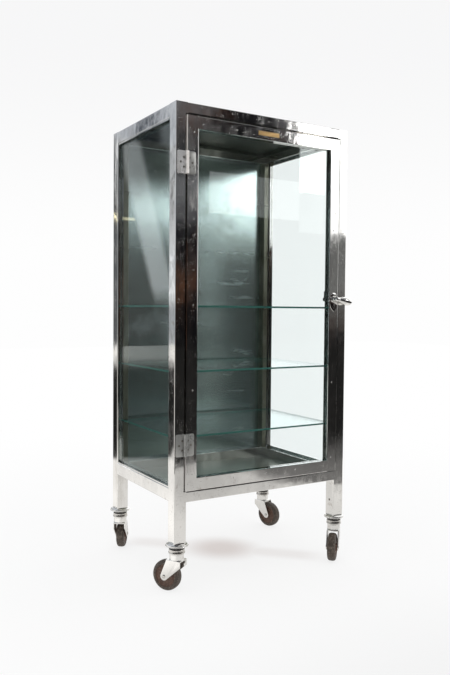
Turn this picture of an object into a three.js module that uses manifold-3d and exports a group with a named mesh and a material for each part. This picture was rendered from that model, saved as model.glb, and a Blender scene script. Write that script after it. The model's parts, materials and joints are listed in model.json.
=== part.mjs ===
// A glazed mortuary cabinet on four casters: a chromed frame of square tube, two glazed sides,
// a framed glass door with surface hinges and a lever latch, and glass shelves on corner brackets.
// Lengths are in millimetres. X runs to the right, Y runs to the back and Z runs up from the floor.

import * as THREE from 'three';
import { mergeVertices, toCreasedNormals } from 'three/addons/utils/BufferGeometryUtils.js';
import Module from 'manifold-3d';

const wasm = await Module();
wasm.setup();

// The body: overall width, overall depth, height of the box above its legs, and the legs
const bodyWidth = 700;
const bodyDepth = 516;
const frameHeight = 1278;
const legLength = 133;

// Square tube of the frame, and the rebate round the doorway that the door shuts into
const tubeSize = 44;
const tubeWall = 2;
const tubeEdgeRadius = 2.5;
const frameLip = 34;
const doorStopGap = 1;

// Door frame, its gaps in the doorway and its glazing
const doorThickness = 25;
const doorMember = 41.5;
const doorWall = 1.5;
const doorEdgeRadius = 2;
const doorGapHinge = 6;
const doorGapLock = 1.2;
const doorGapTop = 4;
const doorGapBottom = 1.5;
const doorReveal = 13;
const doorGlassRebate = 8;
const doorGlassThickness = 5;

// Glazed sides: a channel round each pane, with a narrow lip outside and a wide one inside
const sideInset = 2;
const sideLipDepth = 7;
const sideLipWidth = 4;
const sideGlassThickness = 4;
const sideWeb = 1.5;
const sideBeadDepth = 6;
const sideBeadWidth = 8;

// Sheet panels, made as shallow pans with turned edges
const sheetThickness = 1.5;
const roofRecess = 1;
const roofPanDepth = 15;
const floorRise = 9;
const floorPanDepth = 8;
const backReveal = 13;
const backFlange = 11;

// Glass shelves and the angle brackets that carry them, on evenly spaced levels
const shelfThickness = 6;
const shelfPitch = 215;
const firstShelf = 204;
const shelfLevels = 5;
const shelfClearance = 2.5;
const bracketThickness = 1.5;
const bracketReach = 14;
const bracketDrop = 12;
const bracketWidth = 24;

// Surface hinges
const hingeInset = 151;
const hingeHeight = 72;
const hingeLeafWidth = 33;
const hingeLeafThickness = 2.2;
const hingeLeafRadius = 5;
const hingePinRadius = 3;
const knuckleRadius = 6.3;
const knuckleGap = 0.4;
const knuckleCount = 5;
const hingeScrewNear = 10;
const hingeScrewFar = 21;
const hingeScrewSpread = 15;
const hingeScrewHeadRadius = 3.8;
const hingeScrewRadius = 2.1;
const hingeScrewHeadDepth = 1.6;

// Small screw holes round the face of the door
const doorScrewCount = 5;
const doorScrewInset = 24.5;
const railScrewStart = 57.5;
const stileScrewStart = 52.5;
const doorScrewRadius = 1.9;

// Bare plate on the top rail of the door
const plateWidth = 85;
const plateHeight = 14.5;
const plateThickness = 0.9;
const plateCornerRadius = 1;
const platePinInset = 4;
const platePinRadius = 1.1;

// Lever latch: its height above the bottom of the frame, lock plate, lever, spindle and tongue
const latchHeight = 665;
const lockPlateHalfWidth = 15.5;
const lockPlateRise = 8;
const lockPlateDrop = 45;
const lockPlateShoulder = 20;
const lockPlateThickness = 1.6;
const collarRadius = 12;
const collarHeight = 4;
const keyholeDrop = 25;
const keyholeRadius = 3.2;
const keySlotWidth = 2.6;
const keySlotLength = 8;
const spindleSize = 7;
const spindleHoleRadius = 5.6;
const leverStand = 19.5;
const leverLength = 69;
const leverRadius = 15;
const leverHubRadius = 8.5;
const leverDroopDegrees = 9;
const leverShares = [
  [0, 0.48], [0.16, 0.53], [0.3, 0.73], [0.44, 0.92], [0.58, 1],
  [0.72, 0.97], [0.86, 0.79], [0.96, 0.42], [1, 0],
];
const tongueLength = 30;
const tongueWidth = 12;
const tongueThickness = 3;
const tongueGap = 1.5;
const tongueBossRadius = 8;
const tongueBossThickness = 4;
const lockCaseWidth = 29;
const lockCaseHeight = 62;
const lockCaseDepth = 20;

// Casters, stacked from the floor: wheel, fork, ball race, washer and the cup under the leg
const wheelDiameter = 100;
const wheelWidth = 30;
const wheelTreadWidth = 13;
const wheelShoulder = 8;
const wheelWebWidth = 22;
const wheelRimDepth = 11;
const wheelHubRadius = 13;
const wheelHubWidth = 36;
const wheelSideGap = 0.8;
const wheelTopGap = 4;
const axleRadius = 4;
const axleHeadRadius = 6.5;
const axleHeadHeight = 2.2;
const forkTrail = 36;
const forkPlate = 3.5;
const forkEndRadius = 13;
const forkShoulder = 21;
const forkFrontReach = 28;
const lowerRaceRadius = 25;
const lowerRaceHeight = 21.3;
const raceGap = 0.7;
const upperRaceRadius = 26;
const upperRaceHeight = 13.5;
const raceFlangeRadius = 27.5;
const raceFlangeHeight = 3.2;
const raceEdge = 1.2;
const washerRadius = 24.5;
const washerThickness = 5;
const cupHeight = 14;
const cupTopRadius = 33;
const cupRimRadius = 38;
const cupRimDrop = 6.5;
const cupRimHeight = 1.8;
const cupBaseRadius = 26;
const spigotHeight = 70;
const kingpinRadius = 5;
const kingpinHeadRadius = 9;
const kingpinHeadHeight = 5;
const kingpinReach = 24;
const fixingHeight = 57;
const fixingRadius = 4.3;
const fixingDepth = 16;

// Clearances, and how far a cutter runs past what it cuts
const fit = 0.3;
const overrun = 1;
const weldDistance = 0.001;

// Numbers of facets
const wheelSides = 24;
const raceSides = 18;
const pinSides = 10;
const smallSides = 8;
const cornerSteps = 2;
const arcSteps = 6;
const leverSteps = 10;
const creaseDegrees = 40;

// Levels above the floor
const forkUnder = wheelDiameter + wheelTopGap;
const forkTop = forkUnder + forkPlate;
const lowerRaceTop = forkTop + lowerRaceHeight;
const upperRaceUnder = lowerRaceTop + raceGap;
const upperRaceTop = upperRaceUnder + upperRaceHeight;
const cupUnder = upperRaceTop + washerThickness;
const legBottom = cupUnder + cupHeight;
const frameBottom = legBottom + legLength;
const frameTop = frameBottom + frameHeight;

// Outer faces of the body, and the edges of the door
const right = bodyWidth / 2;
const left = -right;
const back = bodyDepth / 2;
const front = -back;
const doorLeft = left + frameLip + doorGapHinge;
const doorRight = right - frameLip - doorGapLock;
const doorTop = frameTop - frameLip - doorGapTop;
const doorBottom = frameBottom + frameLip + doorGapBottom;
const doorBack = front + doorThickness;
const rebateDepth = doorThickness + doorStopGap;
const hingeX = left + frameLip + doorGapHinge / 2;
const hingeY = front - knuckleRadius;
const hingeLevels = [doorTop - hingeInset, doorBottom + hingeInset];
const latchX = doorRight - doorMember / 2;
const latchZ = frameBottom + latchHeight;
const sideSlotOuter = sideInset + sideLipDepth;
const sideSlotInner = sideSlotOuter + sideGlassThickness + 2 * fit;
const sideBeadInner = sideSlotInner + sideBeadDepth;
const corners = {
  front_left: { x: -1, y: -1, turn: 121 },
  front_right: { x: 1, y: -1, turn: -136 },
  back_left: { x: -1, y: 1, turn: 57 },
  back_right: { x: 1, y: 1, turn: -73 },
};

// Finishes
const chrome = new THREE.MeshStandardMaterial({ color: 0xc9cbcc, roughness: 0.16, metalness: 1 });
const wornChrome = new THREE.MeshStandardMaterial({ color: 0x9b9994, roughness: 0.38, metalness: 1 });
const sheetMetal = new THREE.MeshStandardMaterial({ color: 0x8d938f, roughness: 0.3, metalness: 1 });
const darkSteel = new THREE.MeshStandardMaterial({ color: 0x4a4640, roughness: 0.5, metalness: 1 });
const brass = new THREE.MeshStandardMaterial({ color: 0xb4915a, roughness: 0.35, metalness: 1 });
const brownWheel = new THREE.MeshStandardMaterial({ color: 0x463028, roughness: 0.6, metalness: 0 });
const paneGlass = new THREE.MeshStandardMaterial({
  color: 0xcfe6df, roughness: 0.04, metalness: 0, transparent: true, opacity: 0.25,
});
const shelfGlass = new THREE.MeshStandardMaterial({
  color: 0x7fb5a4, roughness: 0.05, metalness: 0, transparent: true, opacity: 0.4,
});

const RIGHT = new THREE.Vector3(1, 0, 0);
const LEFT = new THREE.Vector3(-1, 0, 0);
const BACK = new THREE.Vector3(0, 1, 0);
const UP = new THREE.Vector3(0, 0, 1);
const DOWN = new THREE.Vector3(0, 0, -1);

function at(x, y, z) {
  return new THREE.Vector3(x, y, z);
}

function span(a, b) {
  return [Math.min(a, b), Math.max(a, b)];
}

// Turns a closed geometry into a solid: welds its vertices and drops the triangles that collapse at a pole
function solid(geometry) {
  geometry.deleteAttribute('normal');
  geometry.deleteAttribute('uv');
  const welded = mergeVertices(geometry, weldDistance);
  const index = welded.index.array;
  const triangles = [];
  for (let i = 0; i < index.length; i += 3) {
    const [a, b, c] = index.slice(i, i + 3);
    if (a !== b && b !== c && c !== a) triangles.push(a, b, c);
  }
  return new wasm.Manifold(new wasm.Mesh({
    numProp: 3,
    vertProperties: welded.attributes.position.array,
    triVerts: new Uint32Array(triangles),
  }));
}

function join(solids) {
  return solids.reduce((sum, next) => sum.add(next));
}

function cut(body, cutters) {
  return body.subtract(join(cutters));
}

function geometryOf(body) {
  const mesh = body.getMesh();
  const geometry = new THREE.BufferGeometry();
  geometry.setAttribute('position', new THREE.BufferAttribute(mesh.vertProperties, 3));
  geometry.setIndex(new THREE.BufferAttribute(mesh.triVerts, 1));
  return toCreasedNormals(geometry, THREE.MathUtils.degToRad(creaseDegrees));
}

function piece(name, body, material) {
  const mesh = new THREE.Mesh(geometryOf(body), material);
  mesh.name = name;
  return mesh;
}

// Lays a geometry so that its x runs along u, its y along v, and its origin is at the place given
function lay(geometry, u, v, place) {
  const matrix = new THREE.Matrix4().makeBasis(u, v, u.clone().cross(v));
  matrix.setPosition(place);
  return geometry.applyMatrix4(matrix);
}

function block([x0, x1], [y0, y1], [z0, z1]) {
  const geometry = new THREE.BoxGeometry(x1 - x0, y1 - y0, z1 - z0);
  geometry.translate((x0 + x1) / 2, (y0 + y1) / 2, (z0 + z1) / 2);
  return solid(geometry);
}

// A closed outline through corners [x, y, radius], with a corner left sharp where it has no radius
function outline(points) {
  const shape = new THREE.Shape();
  points.forEach(([x, y, radius = 0], i) => {
    const corner = new THREE.Vector2(x, y);
    const step = (other) => new THREE.Vector2(other[0], other[1]).sub(corner).setLength(radius).add(corner);
    const start = step(points.at(i - 1));
    const end = step(points[(i + 1) % points.length]);
    if (i === 0) shape.moveTo(start.x, start.y);
    else shape.lineTo(start.x, start.y);
    if (radius > 0) shape.quadraticCurveTo(x, y, end.x, end.y);
  });
  return shape;
}

function rectangle([x0, x1], [y0, y1], radius) {
  return outline([[x0, y0, radius], [x1, y0, radius], [x1, y1, radius], [x0, y1, radius]]);
}

function extrude(shape, depth, steps = cornerSteps) {
  return new THREE.ExtrudeGeometry(shape, { depth, bevelEnabled: false, curveSegments: steps });
}

// An outline extruded upwards between two levels
function column(shape, x, y, [z0, z1]) {
  return solid(extrude(shape, z1 - z0).translate(x, y, z0));
}

// A profile of [radius, height] points turned about Z; it starts and ends on the axis or closes on itself
function turned(points, sides) {
  const profile = points.map(([radius, height]) => new THREE.Vector2(radius, height));
  return new THREE.LatheGeometry(profile, sides).rotateX(Math.PI / 2);
}

// A plain round bar between two points
function rod(radius, from, to, sides) {
  const way = to.clone().sub(from);
  const geometry = new THREE.CylinderGeometry(radius, radius, way.length(), sides);
  const quarter = new THREE.Quaternion().setFromUnitVectors(BACK, way.clone().normalize());
  geometry.applyQuaternion(quarter);
  const middle = from.clone().add(to).divideScalar(2);
  return solid(geometry.translate(middle.x, middle.y, middle.z));
}

// A turned piece whose axis runs from front to back, with its zero level at the place given
function turnedInward(points, sides, place) {
  return solid(lay(turned(points, sides), UP, RIGHT, place));
}

// A span made longer or shorter by the same amount at both ends
function grown([low, high], amount) {
  return [low - amount, high + amount];
}

// The hinge screws of one leaf: [distance from the pin, height from the leaf's middle]
const hingeScrewPlaces = [
  [hingeScrewNear, -hingeScrewSpread],
  [hingeScrewNear, hingeScrewSpread],
  [hingeScrewFar, 0],
];

function hingeScrewPoints(side, level, y) {
  return hingeScrewPlaces.map(([out, up]) => at(hingeX + side * out, y, level + up));
}

function allHingeScrewPoints(side) {
  return hingeLevels.flatMap((level) => hingeScrewPoints(side, level, front));
}

// Straight holes from the front face through the first wall
function frontHoles(points, radius, depth) {
  return points.map((point) => rod(
    radius,
    at(point.x, front - overrun, point.z),
    at(point.x, front + depth, point.z),
    smallSides,
  ));
}

// The doorway rebate where it crosses a front post, grown by the wall where it shapes the hollow
function postRebate(side, grow) {
  return block(
    span(side * (right - frameLip + grow), side * (right - tubeSize - overrun)),
    [front - overrun, front + rebateDepth + grow],
    [frameBottom + frameLip - grow, frameTop - frameLip + grow],
  );
}

function shelfLevel(number) {
  return frameBottom + firstShelf + number * shelfPitch;
}

// The angle brackets of one post, on the face that looks along the depth of the body, at every shelf level
function postBrackets(sideX, sideY) {
  const root = -tubeWall / 2;
  const angle = outline([
    [root, 0], [bracketReach, 0], [bracketReach, -bracketThickness],
    [bracketThickness, -bracketThickness], [bracketThickness, -bracketDrop], [root, -bracketDrop],
  ]);
  const inwards = at(0, -sideY, 0);
  const runsOutwards = sideX * sideY < 0;
  const start = right - sideBeadInner - fit - (runsOutwards ? bracketWidth : 0);
  return Array.from({ length: shelfLevels }, (_, number) => solid(lay(
    extrude(angle, bracketWidth),
    inwards,
    UP,
    at(sideX * start, sideY * (back - tubeSize), shelfLevel(number) - shelfThickness / 2),
  )));
}

// Where a rail is welded on, a post keeps its square corners, so that their faces run on flush
function weldSeats(sideX, sideY) {
  const x = sideX * (right - tubeSize / 2);
  const y = sideY * (back - tubeSize / 2);
  const whole = tubeSize / 2;
  const short = whole - tubeEdgeRadius;
  const across = (centre, side) => span(centre - side * whole, centre + side * short);
  return [frameBottom, frameTop - tubeSize].flatMap((level) => {
    const z = grown([level, level + tubeSize], -tubeEdgeRadius);
    return [
      block(across(x, sideX), grown([y, y], whole), z),
      block(grown([x, x], whole), across(y, sideY), z),
    ];
  });
}

// A post: one tube from the caster to the roof, closed at the top, with its shelf brackets.
// The front posts are rebated beside the doorway
function makePost({ x: sideX, y: sideY }) {
  const x = sideX * (right - tubeSize / 2);
  const y = sideY * (back - tubeSize / 2);
  const outside = [-tubeSize / 2, tubeSize / 2];
  const inside = grown(outside, -tubeWall);
  let body = column(rectangle(outside, outside, tubeEdgeRadius), x, y, [legBottom, frameTop]);
  body = join([body, ...postBrackets(sideX, sideY), ...weldSeats(sideX, sideY)]);
  let hollow = column(
    rectangle(inside, inside, tubeEdgeRadius - tubeWall),
    x,
    y,
    [legBottom - overrun, frameTop - tubeWall],
  );
  if (sideY < 0) {
    body = body.subtract(postRebate(sideX, 0));
    hollow = hollow.subtract(postRebate(sideX, tubeWall));
  }
  const innerFace = sideX * (right - tubeSize);
  const fixingHole = rod(
    fixingRadius,
    at(innerFace - sideX * overrun, y, legBottom + fixingHeight),
    at(innerFace + sideX * (tubeWall + overrun), y, legBottom + fixingHeight),
    pinSides,
  );
  const holes = [hollow, fixingHole];
  if (sideX < 0 && sideY < 0) {
    holes.push(...frontHoles(allHingeScrewPoints(-1), hingeScrewRadius, tubeWall + overrun));
  }
  return cut(body, holes);
}

// Corners of a front rail's section: x runs inwards from the outer edge and y runs to the back
function rebatedSection(inset, radius) {
  const lip = frameLip - inset;
  const step = rebateDepth + inset;
  const far = tubeSize - inset;
  return outline([
    [inset, inset, radius], [lip, inset, radius], [lip, step],
    [far, step], [far, far, radius], [inset, far, radius],
  ]);
}

function makeFrontRail(inwards, place) {
  const section = rebatedSection(0, tubeEdgeRadius);
  section.holes.push(rebatedSection(tubeWall, tubeEdgeRadius - tubeWall));
  return solid(lay(extrude(section, bodyWidth - 2 * tubeSize), inwards, BACK, place));
}

function makePlainRail(length, u, v, place) {
  const section = rectangle([0, tubeSize], [0, tubeSize], tubeEdgeRadius);
  const inside = [tubeWall, tubeSize - tubeWall];
  section.holes.push(rectangle(inside, inside, tubeEdgeRadius - tubeWall));
  return solid(lay(extrude(section, length), u, v, place));
}

function makeRails() {
  const across = bodyWidth - 2 * tubeSize;
  const deep = bodyDepth - 2 * tubeSize;
  const levels = { top: frameTop - tubeSize, bottom: frameBottom };
  const rails = {
    top_rail_front: makeFrontRail(DOWN, at(left + tubeSize, front, frameTop)),
    bottom_rail_front: makeFrontRail(UP, at(right - tubeSize, front, frameBottom)),
  };
  for (const [name, level] of Object.entries(levels)) {
    const behind = at(left + tubeSize, back - tubeSize, level);
    rails[`${name}_rail_back`] = makePlainRail(across, BACK, UP, behind);
    for (const [side, x] of [['left', left], ['right', right - tubeSize]]) {
      const start = at(x, front + tubeSize, level);
      rails[`${name}_rail_${side}`] = makePlainRail(deep, UP, RIGHT, start);
    }
  }
  return Object.entries(rails).map(([name, body]) => piece(name, body, chrome));
}

// A sheet pan that faces up, with its edges turned down
function makeLevelPan(level, depth) {
  const x = right - tubeSize - fit;
  const y = back - tubeSize - fit;
  const outside = block([-x, x], [-y, y], [level - depth, level]);
  const inside = block(
    [sheetThickness - x, x - sheetThickness],
    [sheetThickness - y, y - sheetThickness],
    [level - depth - overrun, level - sheetThickness],
  );
  return outside.subtract(inside);
}

// The back: a sheet pan set into the back opening, with its edges turned to the back
function makeBackPanel() {
  const x = right - tubeSize - fit;
  const z = [frameBottom + tubeSize + fit, frameTop - tubeSize - fit];
  const face = back - backReveal;
  const outside = block([-x, x], [face, face + backFlange], z);
  const inside = block(
    [sheetThickness - x, x - sheetThickness],
    [face + sheetThickness, face + backFlange + overrun],
    [z[0] + sheetThickness, z[1] - sheetThickness],
  );
  return outside.subtract(inside);
}

const sideOpeningY = [front + tubeSize, back - tubeSize];
const sideOpeningZ = [frameBottom + tubeSize, frameTop - tubeSize];

// A slab that fills a side opening between two depths from the outer face, smaller all round by the inset
function sideSlab(side, outer, inner, inset) {
  return block(
    span(side * (right - outer), side * (right - inner)),
    grown(sideOpeningY, -inset),
    grown(sideOpeningZ, -inset),
  );
}

function makeSideGlass(side) {
  return sideSlab(side, sideSlotOuter + fit, sideSlotInner - fit, sideWeb + fit);
}

function makeSideChannel(side) {
  return cut(sideSlab(side, sideInset, sideBeadInner, 0), [
    sideSlab(side, 0, sideSlotOuter, sideLipWidth),
    sideSlab(side, sideSlotOuter, sideSlotInner, sideWeb),
    sideSlab(side, sideSlotInner, sideBeadInner + overrun, sideBeadWidth),
  ]);
}

function makeShelf(number) {
  const x = right - sideBeadInner - shelfClearance;
  const y = back - tubeSize - shelfClearance;
  const level = shelfLevel(number);
  return block([-x, x], [-y, y], [level - shelfThickness / 2, level + shelfThickness / 2]);
}

// Corners of a door member's section: x runs inwards from the door's edge and y runs to the back
function doorSection(inset, radius) {
  const inner = doorMember - inset;
  const step = doorReveal - inset;
  const rebate = doorMember - doorGlassRebate - inset;
  const far = doorThickness - inset;
  return outline([
    [inset, inset, radius], [inner, inset, radius], [inner, step],
    [rebate, step], [rebate, far], [inset, far, radius],
  ]);
}

// A stile is closed at both ends, so its hollow is cut out of a solid bar
function makeStile(inwards, place, holes) {
  const length = doorTop - doorBottom;
  const body = solid(lay(extrude(doorSection(0, doorEdgeRadius), length), inwards, BACK, place));
  const along = inwards.clone().cross(BACK);
  const start = place.clone().addScaledVector(along, doorWall);
  const hollow = solid(lay(extrude(doorSection(doorWall, 0), length - 2 * doorWall), inwards, BACK, start));
  return cut(body, [hollow, ...holes]);
}

function makeDoorRail(inwards, place, holes) {
  const section = doorSection(0, doorEdgeRadius);
  section.holes.push(doorSection(doorWall, 0));
  const length = doorRight - doorLeft - 2 * doorMember;
  return cut(solid(lay(extrude(section, length), inwards, BACK, place)), holes);
}

// Where the small screws go along each member; the lock and the bare plate take the middle place of theirs
function doorScrewPoints() {
  const middle = (doorScrewCount - 1) / 2;
  const along = (low, high) => Array.from(
    { length: doorScrewCount },
    (_, i) => THREE.MathUtils.lerp(low, high, i / (doorScrewCount - 1)),
  );
  const notMiddle = (_, i) => i !== middle;
  const heights = along(doorBottom + stileScrewStart, doorTop - stileScrewStart);
  const places = along(doorLeft + railScrewStart, doorRight - railScrewStart);
  const point = (x, z) => at(x, front, z);
  return {
    hingeStile: heights.map((z) => point(doorLeft + doorScrewInset, z)),
    lockStile: heights.filter(notMiddle).map((z) => point(doorRight - doorScrewInset, z)),
    topRail: places.filter(notMiddle).map((x) => point(x, doorTop - doorScrewInset)),
    bottomRail: places.map((x) => point(x, doorBottom + doorScrewInset)),
  };
}

function screwHoles(points) {
  return frontHoles(points, doorScrewRadius, doorWall + overrun);
}

const doorOpeningX = [doorLeft + doorMember, doorRight - doorMember];
const doorOpeningZ = [doorBottom + doorMember, doorTop - doorMember];

function makeDoorGlass() {
  const overlap = doorGlassRebate - fit;
  const face = front + doorReveal;
  return block(grown(doorOpeningX, overlap), [face, face + doorGlassThickness], grown(doorOpeningZ, overlap));
}

function makeDoorBead() {
  const overlap = doorGlassRebate - fit;
  const face = front + doorReveal + doorGlassThickness;
  const slab = block(grown(doorOpeningX, overlap), [face, doorBack], grown(doorOpeningZ, overlap));
  return slab.subtract(block(doorOpeningX, [face - overrun, doorBack + overrun], doorOpeningZ));
}

// A hole with a cone for a sunk head, from the front of a hinge leaf
function sunkHole(point) {
  const profile = [
    [0, -overrun], [hingeScrewHeadRadius, -overrun], [hingeScrewHeadRadius, 0],
    [hingeScrewRadius, hingeScrewHeadDepth], [hingeScrewRadius, hingeLeafThickness + overrun],
    [0, hingeLeafThickness + overrun],
  ];
  return turnedInward(profile, pinSides, point);
}

// One leaf of a surface hinge, with its share of the knuckles; side is -1 on the frame and 1 on the door
function makeHingeLeaf(side, level) {
  const half = hingeHeight / 2;
  const pitch = hingeHeight / knuckleCount;
  const u = side < 0 ? LEFT : RIGHT;
  const v = side < 0 ? DOWN : UP;
  const flat = outline([
    [0, -half], [hingeLeafWidth, -half, hingeLeafRadius],
    [hingeLeafWidth, half, hingeLeafRadius], [0, half],
  ]);
  const own = [solid(lay(extrude(flat, hingeLeafThickness), u, v, at(hingeX, front, level)))];
  const others = [];
  for (let i = 0; i < knuckleCount; i += 1) {
    const low = level - half + i * pitch;
    const onFrame = i % 2 === 0;
    const isOwn = onFrame === (side < 0);
    const spare = isOwn ? knuckleGap / 2 : 0;
    const radius = isOwn ? knuckleRadius : knuckleRadius + knuckleGap;
    const knuckle = rod(
      radius,
      at(hingeX, hingeY, low + spare),
      at(hingeX, hingeY, low + pitch - spare),
      pinSides,
    );
    (isOwn ? own : others).push(knuckle);
  }
  const bore = rod(
    hingePinRadius + fit,
    at(hingeX, hingeY, level - half - overrun),
    at(hingeX, hingeY, level + half + overrun),
    pinSides,
  );
  const holes = hingeScrewPoints(side, level, front - hingeLeafThickness).map(sunkHole);
  return cut(join(own), [...others, bore, ...holes]);
}

function makeHingePin(level) {
  const half = hingeHeight / 2;
  return rod(hingePinRadius, at(hingeX, hingeY, level - half), at(hingeX, hingeY, level + half), pinSides);
}

function makeNameplate() {
  const middle = (doorLeft + doorRight) / 2;
  const level = doorTop - doorMember / 2;
  const across = grown([0, 0], plateWidth / 2);
  const shape = rectangle(across, grown([0, 0], plateHeight / 2), plateCornerRadius);
  const plate = solid(lay(extrude(shape, plateThickness), RIGHT, UP, at(middle, front, level)));
  const pinHoles = [-1, 1].map((side) => {
    const x = middle + side * (plateWidth / 2 - platePinInset);
    return rod(
      platePinRadius,
      at(x, front - plateThickness - overrun, level),
      at(x, front + overrun, level),
      smallSides,
    );
  });
  return cut(plate, pinHoles);
}

// The keyhole: a round hole over a slot, as a cutter from the face given to the depth given
function keyholeCutter(y0, y1) {
  const z = latchZ - keyholeDrop;
  return join([
    rod(keyholeRadius, at(latchX, y0, z), at(latchX, y1, z), pinSides),
    block([latchX - keySlotWidth / 2, latchX + keySlotWidth / 2], [y0, y1], [z - keySlotLength, z]),
  ]);
}

function spindleHole(radius, y0, y1) {
  return rod(radius, at(latchX, y0, latchZ), at(latchX, y1, latchZ), pinSides);
}

// Lock plate: round at the top and pointed at the bottom, with a raised collar round the spindle
function makeLockPlate() {
  const half = lockPlateHalfWidth;
  const shape = new THREE.Shape();
  shape.moveTo(half, lockPlateRise);
  shape.absarc(0, lockPlateRise, half, 0, Math.PI, false);
  shape.lineTo(-half, -lockPlateShoulder);
  shape.quadraticCurveTo(-half, -keyholeDrop - keySlotLength, 0, -lockPlateDrop);
  shape.quadraticCurveTo(half, -keyholeDrop - keySlotLength, half, -lockPlateShoulder);
  const sheet = extrude(shape, lockPlateThickness, arcSteps);
  const plate = solid(lay(sheet, RIGHT, UP, at(latchX, front, latchZ)));
  const outer = front - lockPlateThickness - collarHeight;
  const collar = spindleHole(collarRadius, outer, front - lockPlateThickness / 2);
  return cut(plate.add(collar), [
    spindleHole(spindleHoleRadius, outer - overrun, front + overrun),
    keyholeCutter(front - lockPlateThickness - overrun, front + overrun),
  ]);
}

// Lock case inside the lock stile, behind its front wall
function makeLockCase() {
  const rear = doorRight - doorWall - fit;
  const x = [rear - lockCaseWidth, rear];
  const y = [front + doorWall, front + doorWall + lockCaseDepth];
  const middle = latchZ - keyholeDrop / 2;
  const z = [middle - lockCaseHeight / 2, middle + lockCaseHeight / 2];
  return cut(block(x, y, z), [
    spindleHole(spindleHoleRadius, y[0] - overrun, y[1] + overrun),
    keyholeCutter(y[0] - overrun, y[0] + lockCaseDepth / 2),
  ]);
}

const hubInner = front - lockPlateThickness - collarHeight - fit;
const leverY = front - leverStand;
const tongueFront = front + tubeSize + tongueGap;
const tongueBack = tongueFront + tongueThickness;
const bossBack = tongueBack + tongueBossThickness;

function spindleBar(trim, y0, y1) {
  const half = spindleSize / 2 + trim;
  return block([latchX - half, latchX + half], [y0, y1], [latchZ - half, latchZ + half]);
}

// The lever: a hub on the spindle and a pear-shaped grip that droops a little to the right
function makeLever() {
  const curve = new THREE.SplineCurve(leverShares.map(
    ([along, out]) => new THREE.Vector2(out * leverRadius, along * leverLength),
  ));
  const smooth = curve.getPoints(leverSteps).map((point) => [Math.max(point.x, 0), point.y]);
  const droop = THREE.MathUtils.degToRad(leverDroopDegrees);
  const grip = turned([[0, 0], ...smooth.slice(0, -1), [0, leverLength]], pinSides);
  grip.rotateY(Math.PI / 2 + droop).translate(latchX, leverY, latchZ);
  const hubLength = hubInner - leverY;
  const hub = turnedInward([
    [0, -leverHubRadius], [leverHubRadius / 2, -leverHubRadius], [leverHubRadius, -leverHubRadius / 2],
    [leverHubRadius, hubLength], [0, hubLength],
  ], pinSides, at(latchX, leverY, latchZ));
  return hub.add(solid(grip)).subtract(spindleBar(fit, leverY, hubInner + overrun));
}

function makeSpindle() {
  return spindleBar(0, leverY + fit, bossBack);
}

// The tongue and its boss. It points up at rest and turns with the lever until it lies behind the post
function makeTongue() {
  const half = tongueWidth / 2;
  const shape = rectangle([-half, half], [-half, tongueLength], half / 2);
  const plate = solid(lay(extrude(shape, tongueThickness), RIGHT, UP, at(latchX, tongueBack, latchZ)));
  const boss = spindleHole(tongueBossRadius, tongueBack - tongueThickness / 2, bossBack);
  return plate.add(boss).subtract(spindleBar(fit, tongueFront - overrun, bossBack + overrun));
}

// Cup: a flat seat for the leg, a domed shoulder, a rim and a bowl, with a square spigot up inside the leg.
// The side is the sign of x at this corner
function makeCup(side) {
  const rimTop = legBottom - cupRimDrop;
  const rimUnder = rimTop - cupRimHeight;
  const shoulder = (cupTopRadius + cupRimRadius) / 2;
  const bowl = (cupRimRadius + cupBaseRadius) / 2;
  const cup = solid(turned([
    [0, cupUnder], [cupBaseRadius, cupUnder], [bowl, (cupUnder + rimUnder) / 2 - cupRimHeight / 2],
    [cupRimRadius, rimUnder], [cupRimRadius, rimTop], [shoulder, legBottom - cupRimDrop / 3],
    [cupTopRadius, legBottom], [0, legBottom],
  ], raceSides));
  const half = tubeSize / 2 - tubeWall - fit;
  const spigot = column(
    rectangle([-half, half], [-half, half], tubeEdgeRadius),
    0,
    0,
    [legBottom - overrun, legBottom + spigotHeight],
  );
  const pinHole = rod(
    kingpinRadius + fit,
    at(0, 0, cupUnder - overrun),
    at(0, 0, cupUnder + kingpinReach + fit),
    pinSides,
  );
  const screwHole = rod(
    fixingRadius,
    at(-side * tubeSize / 2, 0, legBottom + fixingHeight),
    at(side * (fixingDepth - tubeSize / 2), 0, legBottom + fixingHeight),
    pinSides,
  );
  return cut(cup.add(spigot), [pinHole, screwHole]);
}

// Swivel head, turned in one: the kingpin's round head below the fork, the upper race with its flange,
// the packing washer, and the end of the kingpin that goes up into the cup
function makeSwivelHead() {
  const headTop = forkUnder - fit;
  const headUnder = headTop - kingpinHeadHeight;
  const flangeTop = upperRaceUnder + raceFlangeHeight;
  return solid(turned([
    [0, headUnder], [kingpinHeadRadius / 2, headUnder],
    [kingpinHeadRadius, headUnder + kingpinHeadHeight / 2], [kingpinHeadRadius, headTop],
    [kingpinRadius, headTop], [kingpinRadius, upperRaceUnder],
    [raceFlangeRadius, upperRaceUnder], [raceFlangeRadius, flangeTop],
    [upperRaceRadius, flangeTop + raceEdge], [upperRaceRadius, upperRaceTop - raceEdge],
    [upperRaceRadius - raceEdge, upperRaceTop],
    [washerRadius, upperRaceTop], [washerRadius, cupUnder], [kingpinRadius, cupUnder],
    [kingpinRadius, cupUnder + kingpinReach], [0, cupUnder + kingpinReach],
  ], raceSides));
}

// The point where a line from outside touches a circle, on the side given by the sign
function touchAngle(from, centre, radius, sign) {
  const way = from.clone().sub(centre);
  return way.angle() + sign * Math.acos(radius / way.length());
}

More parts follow.
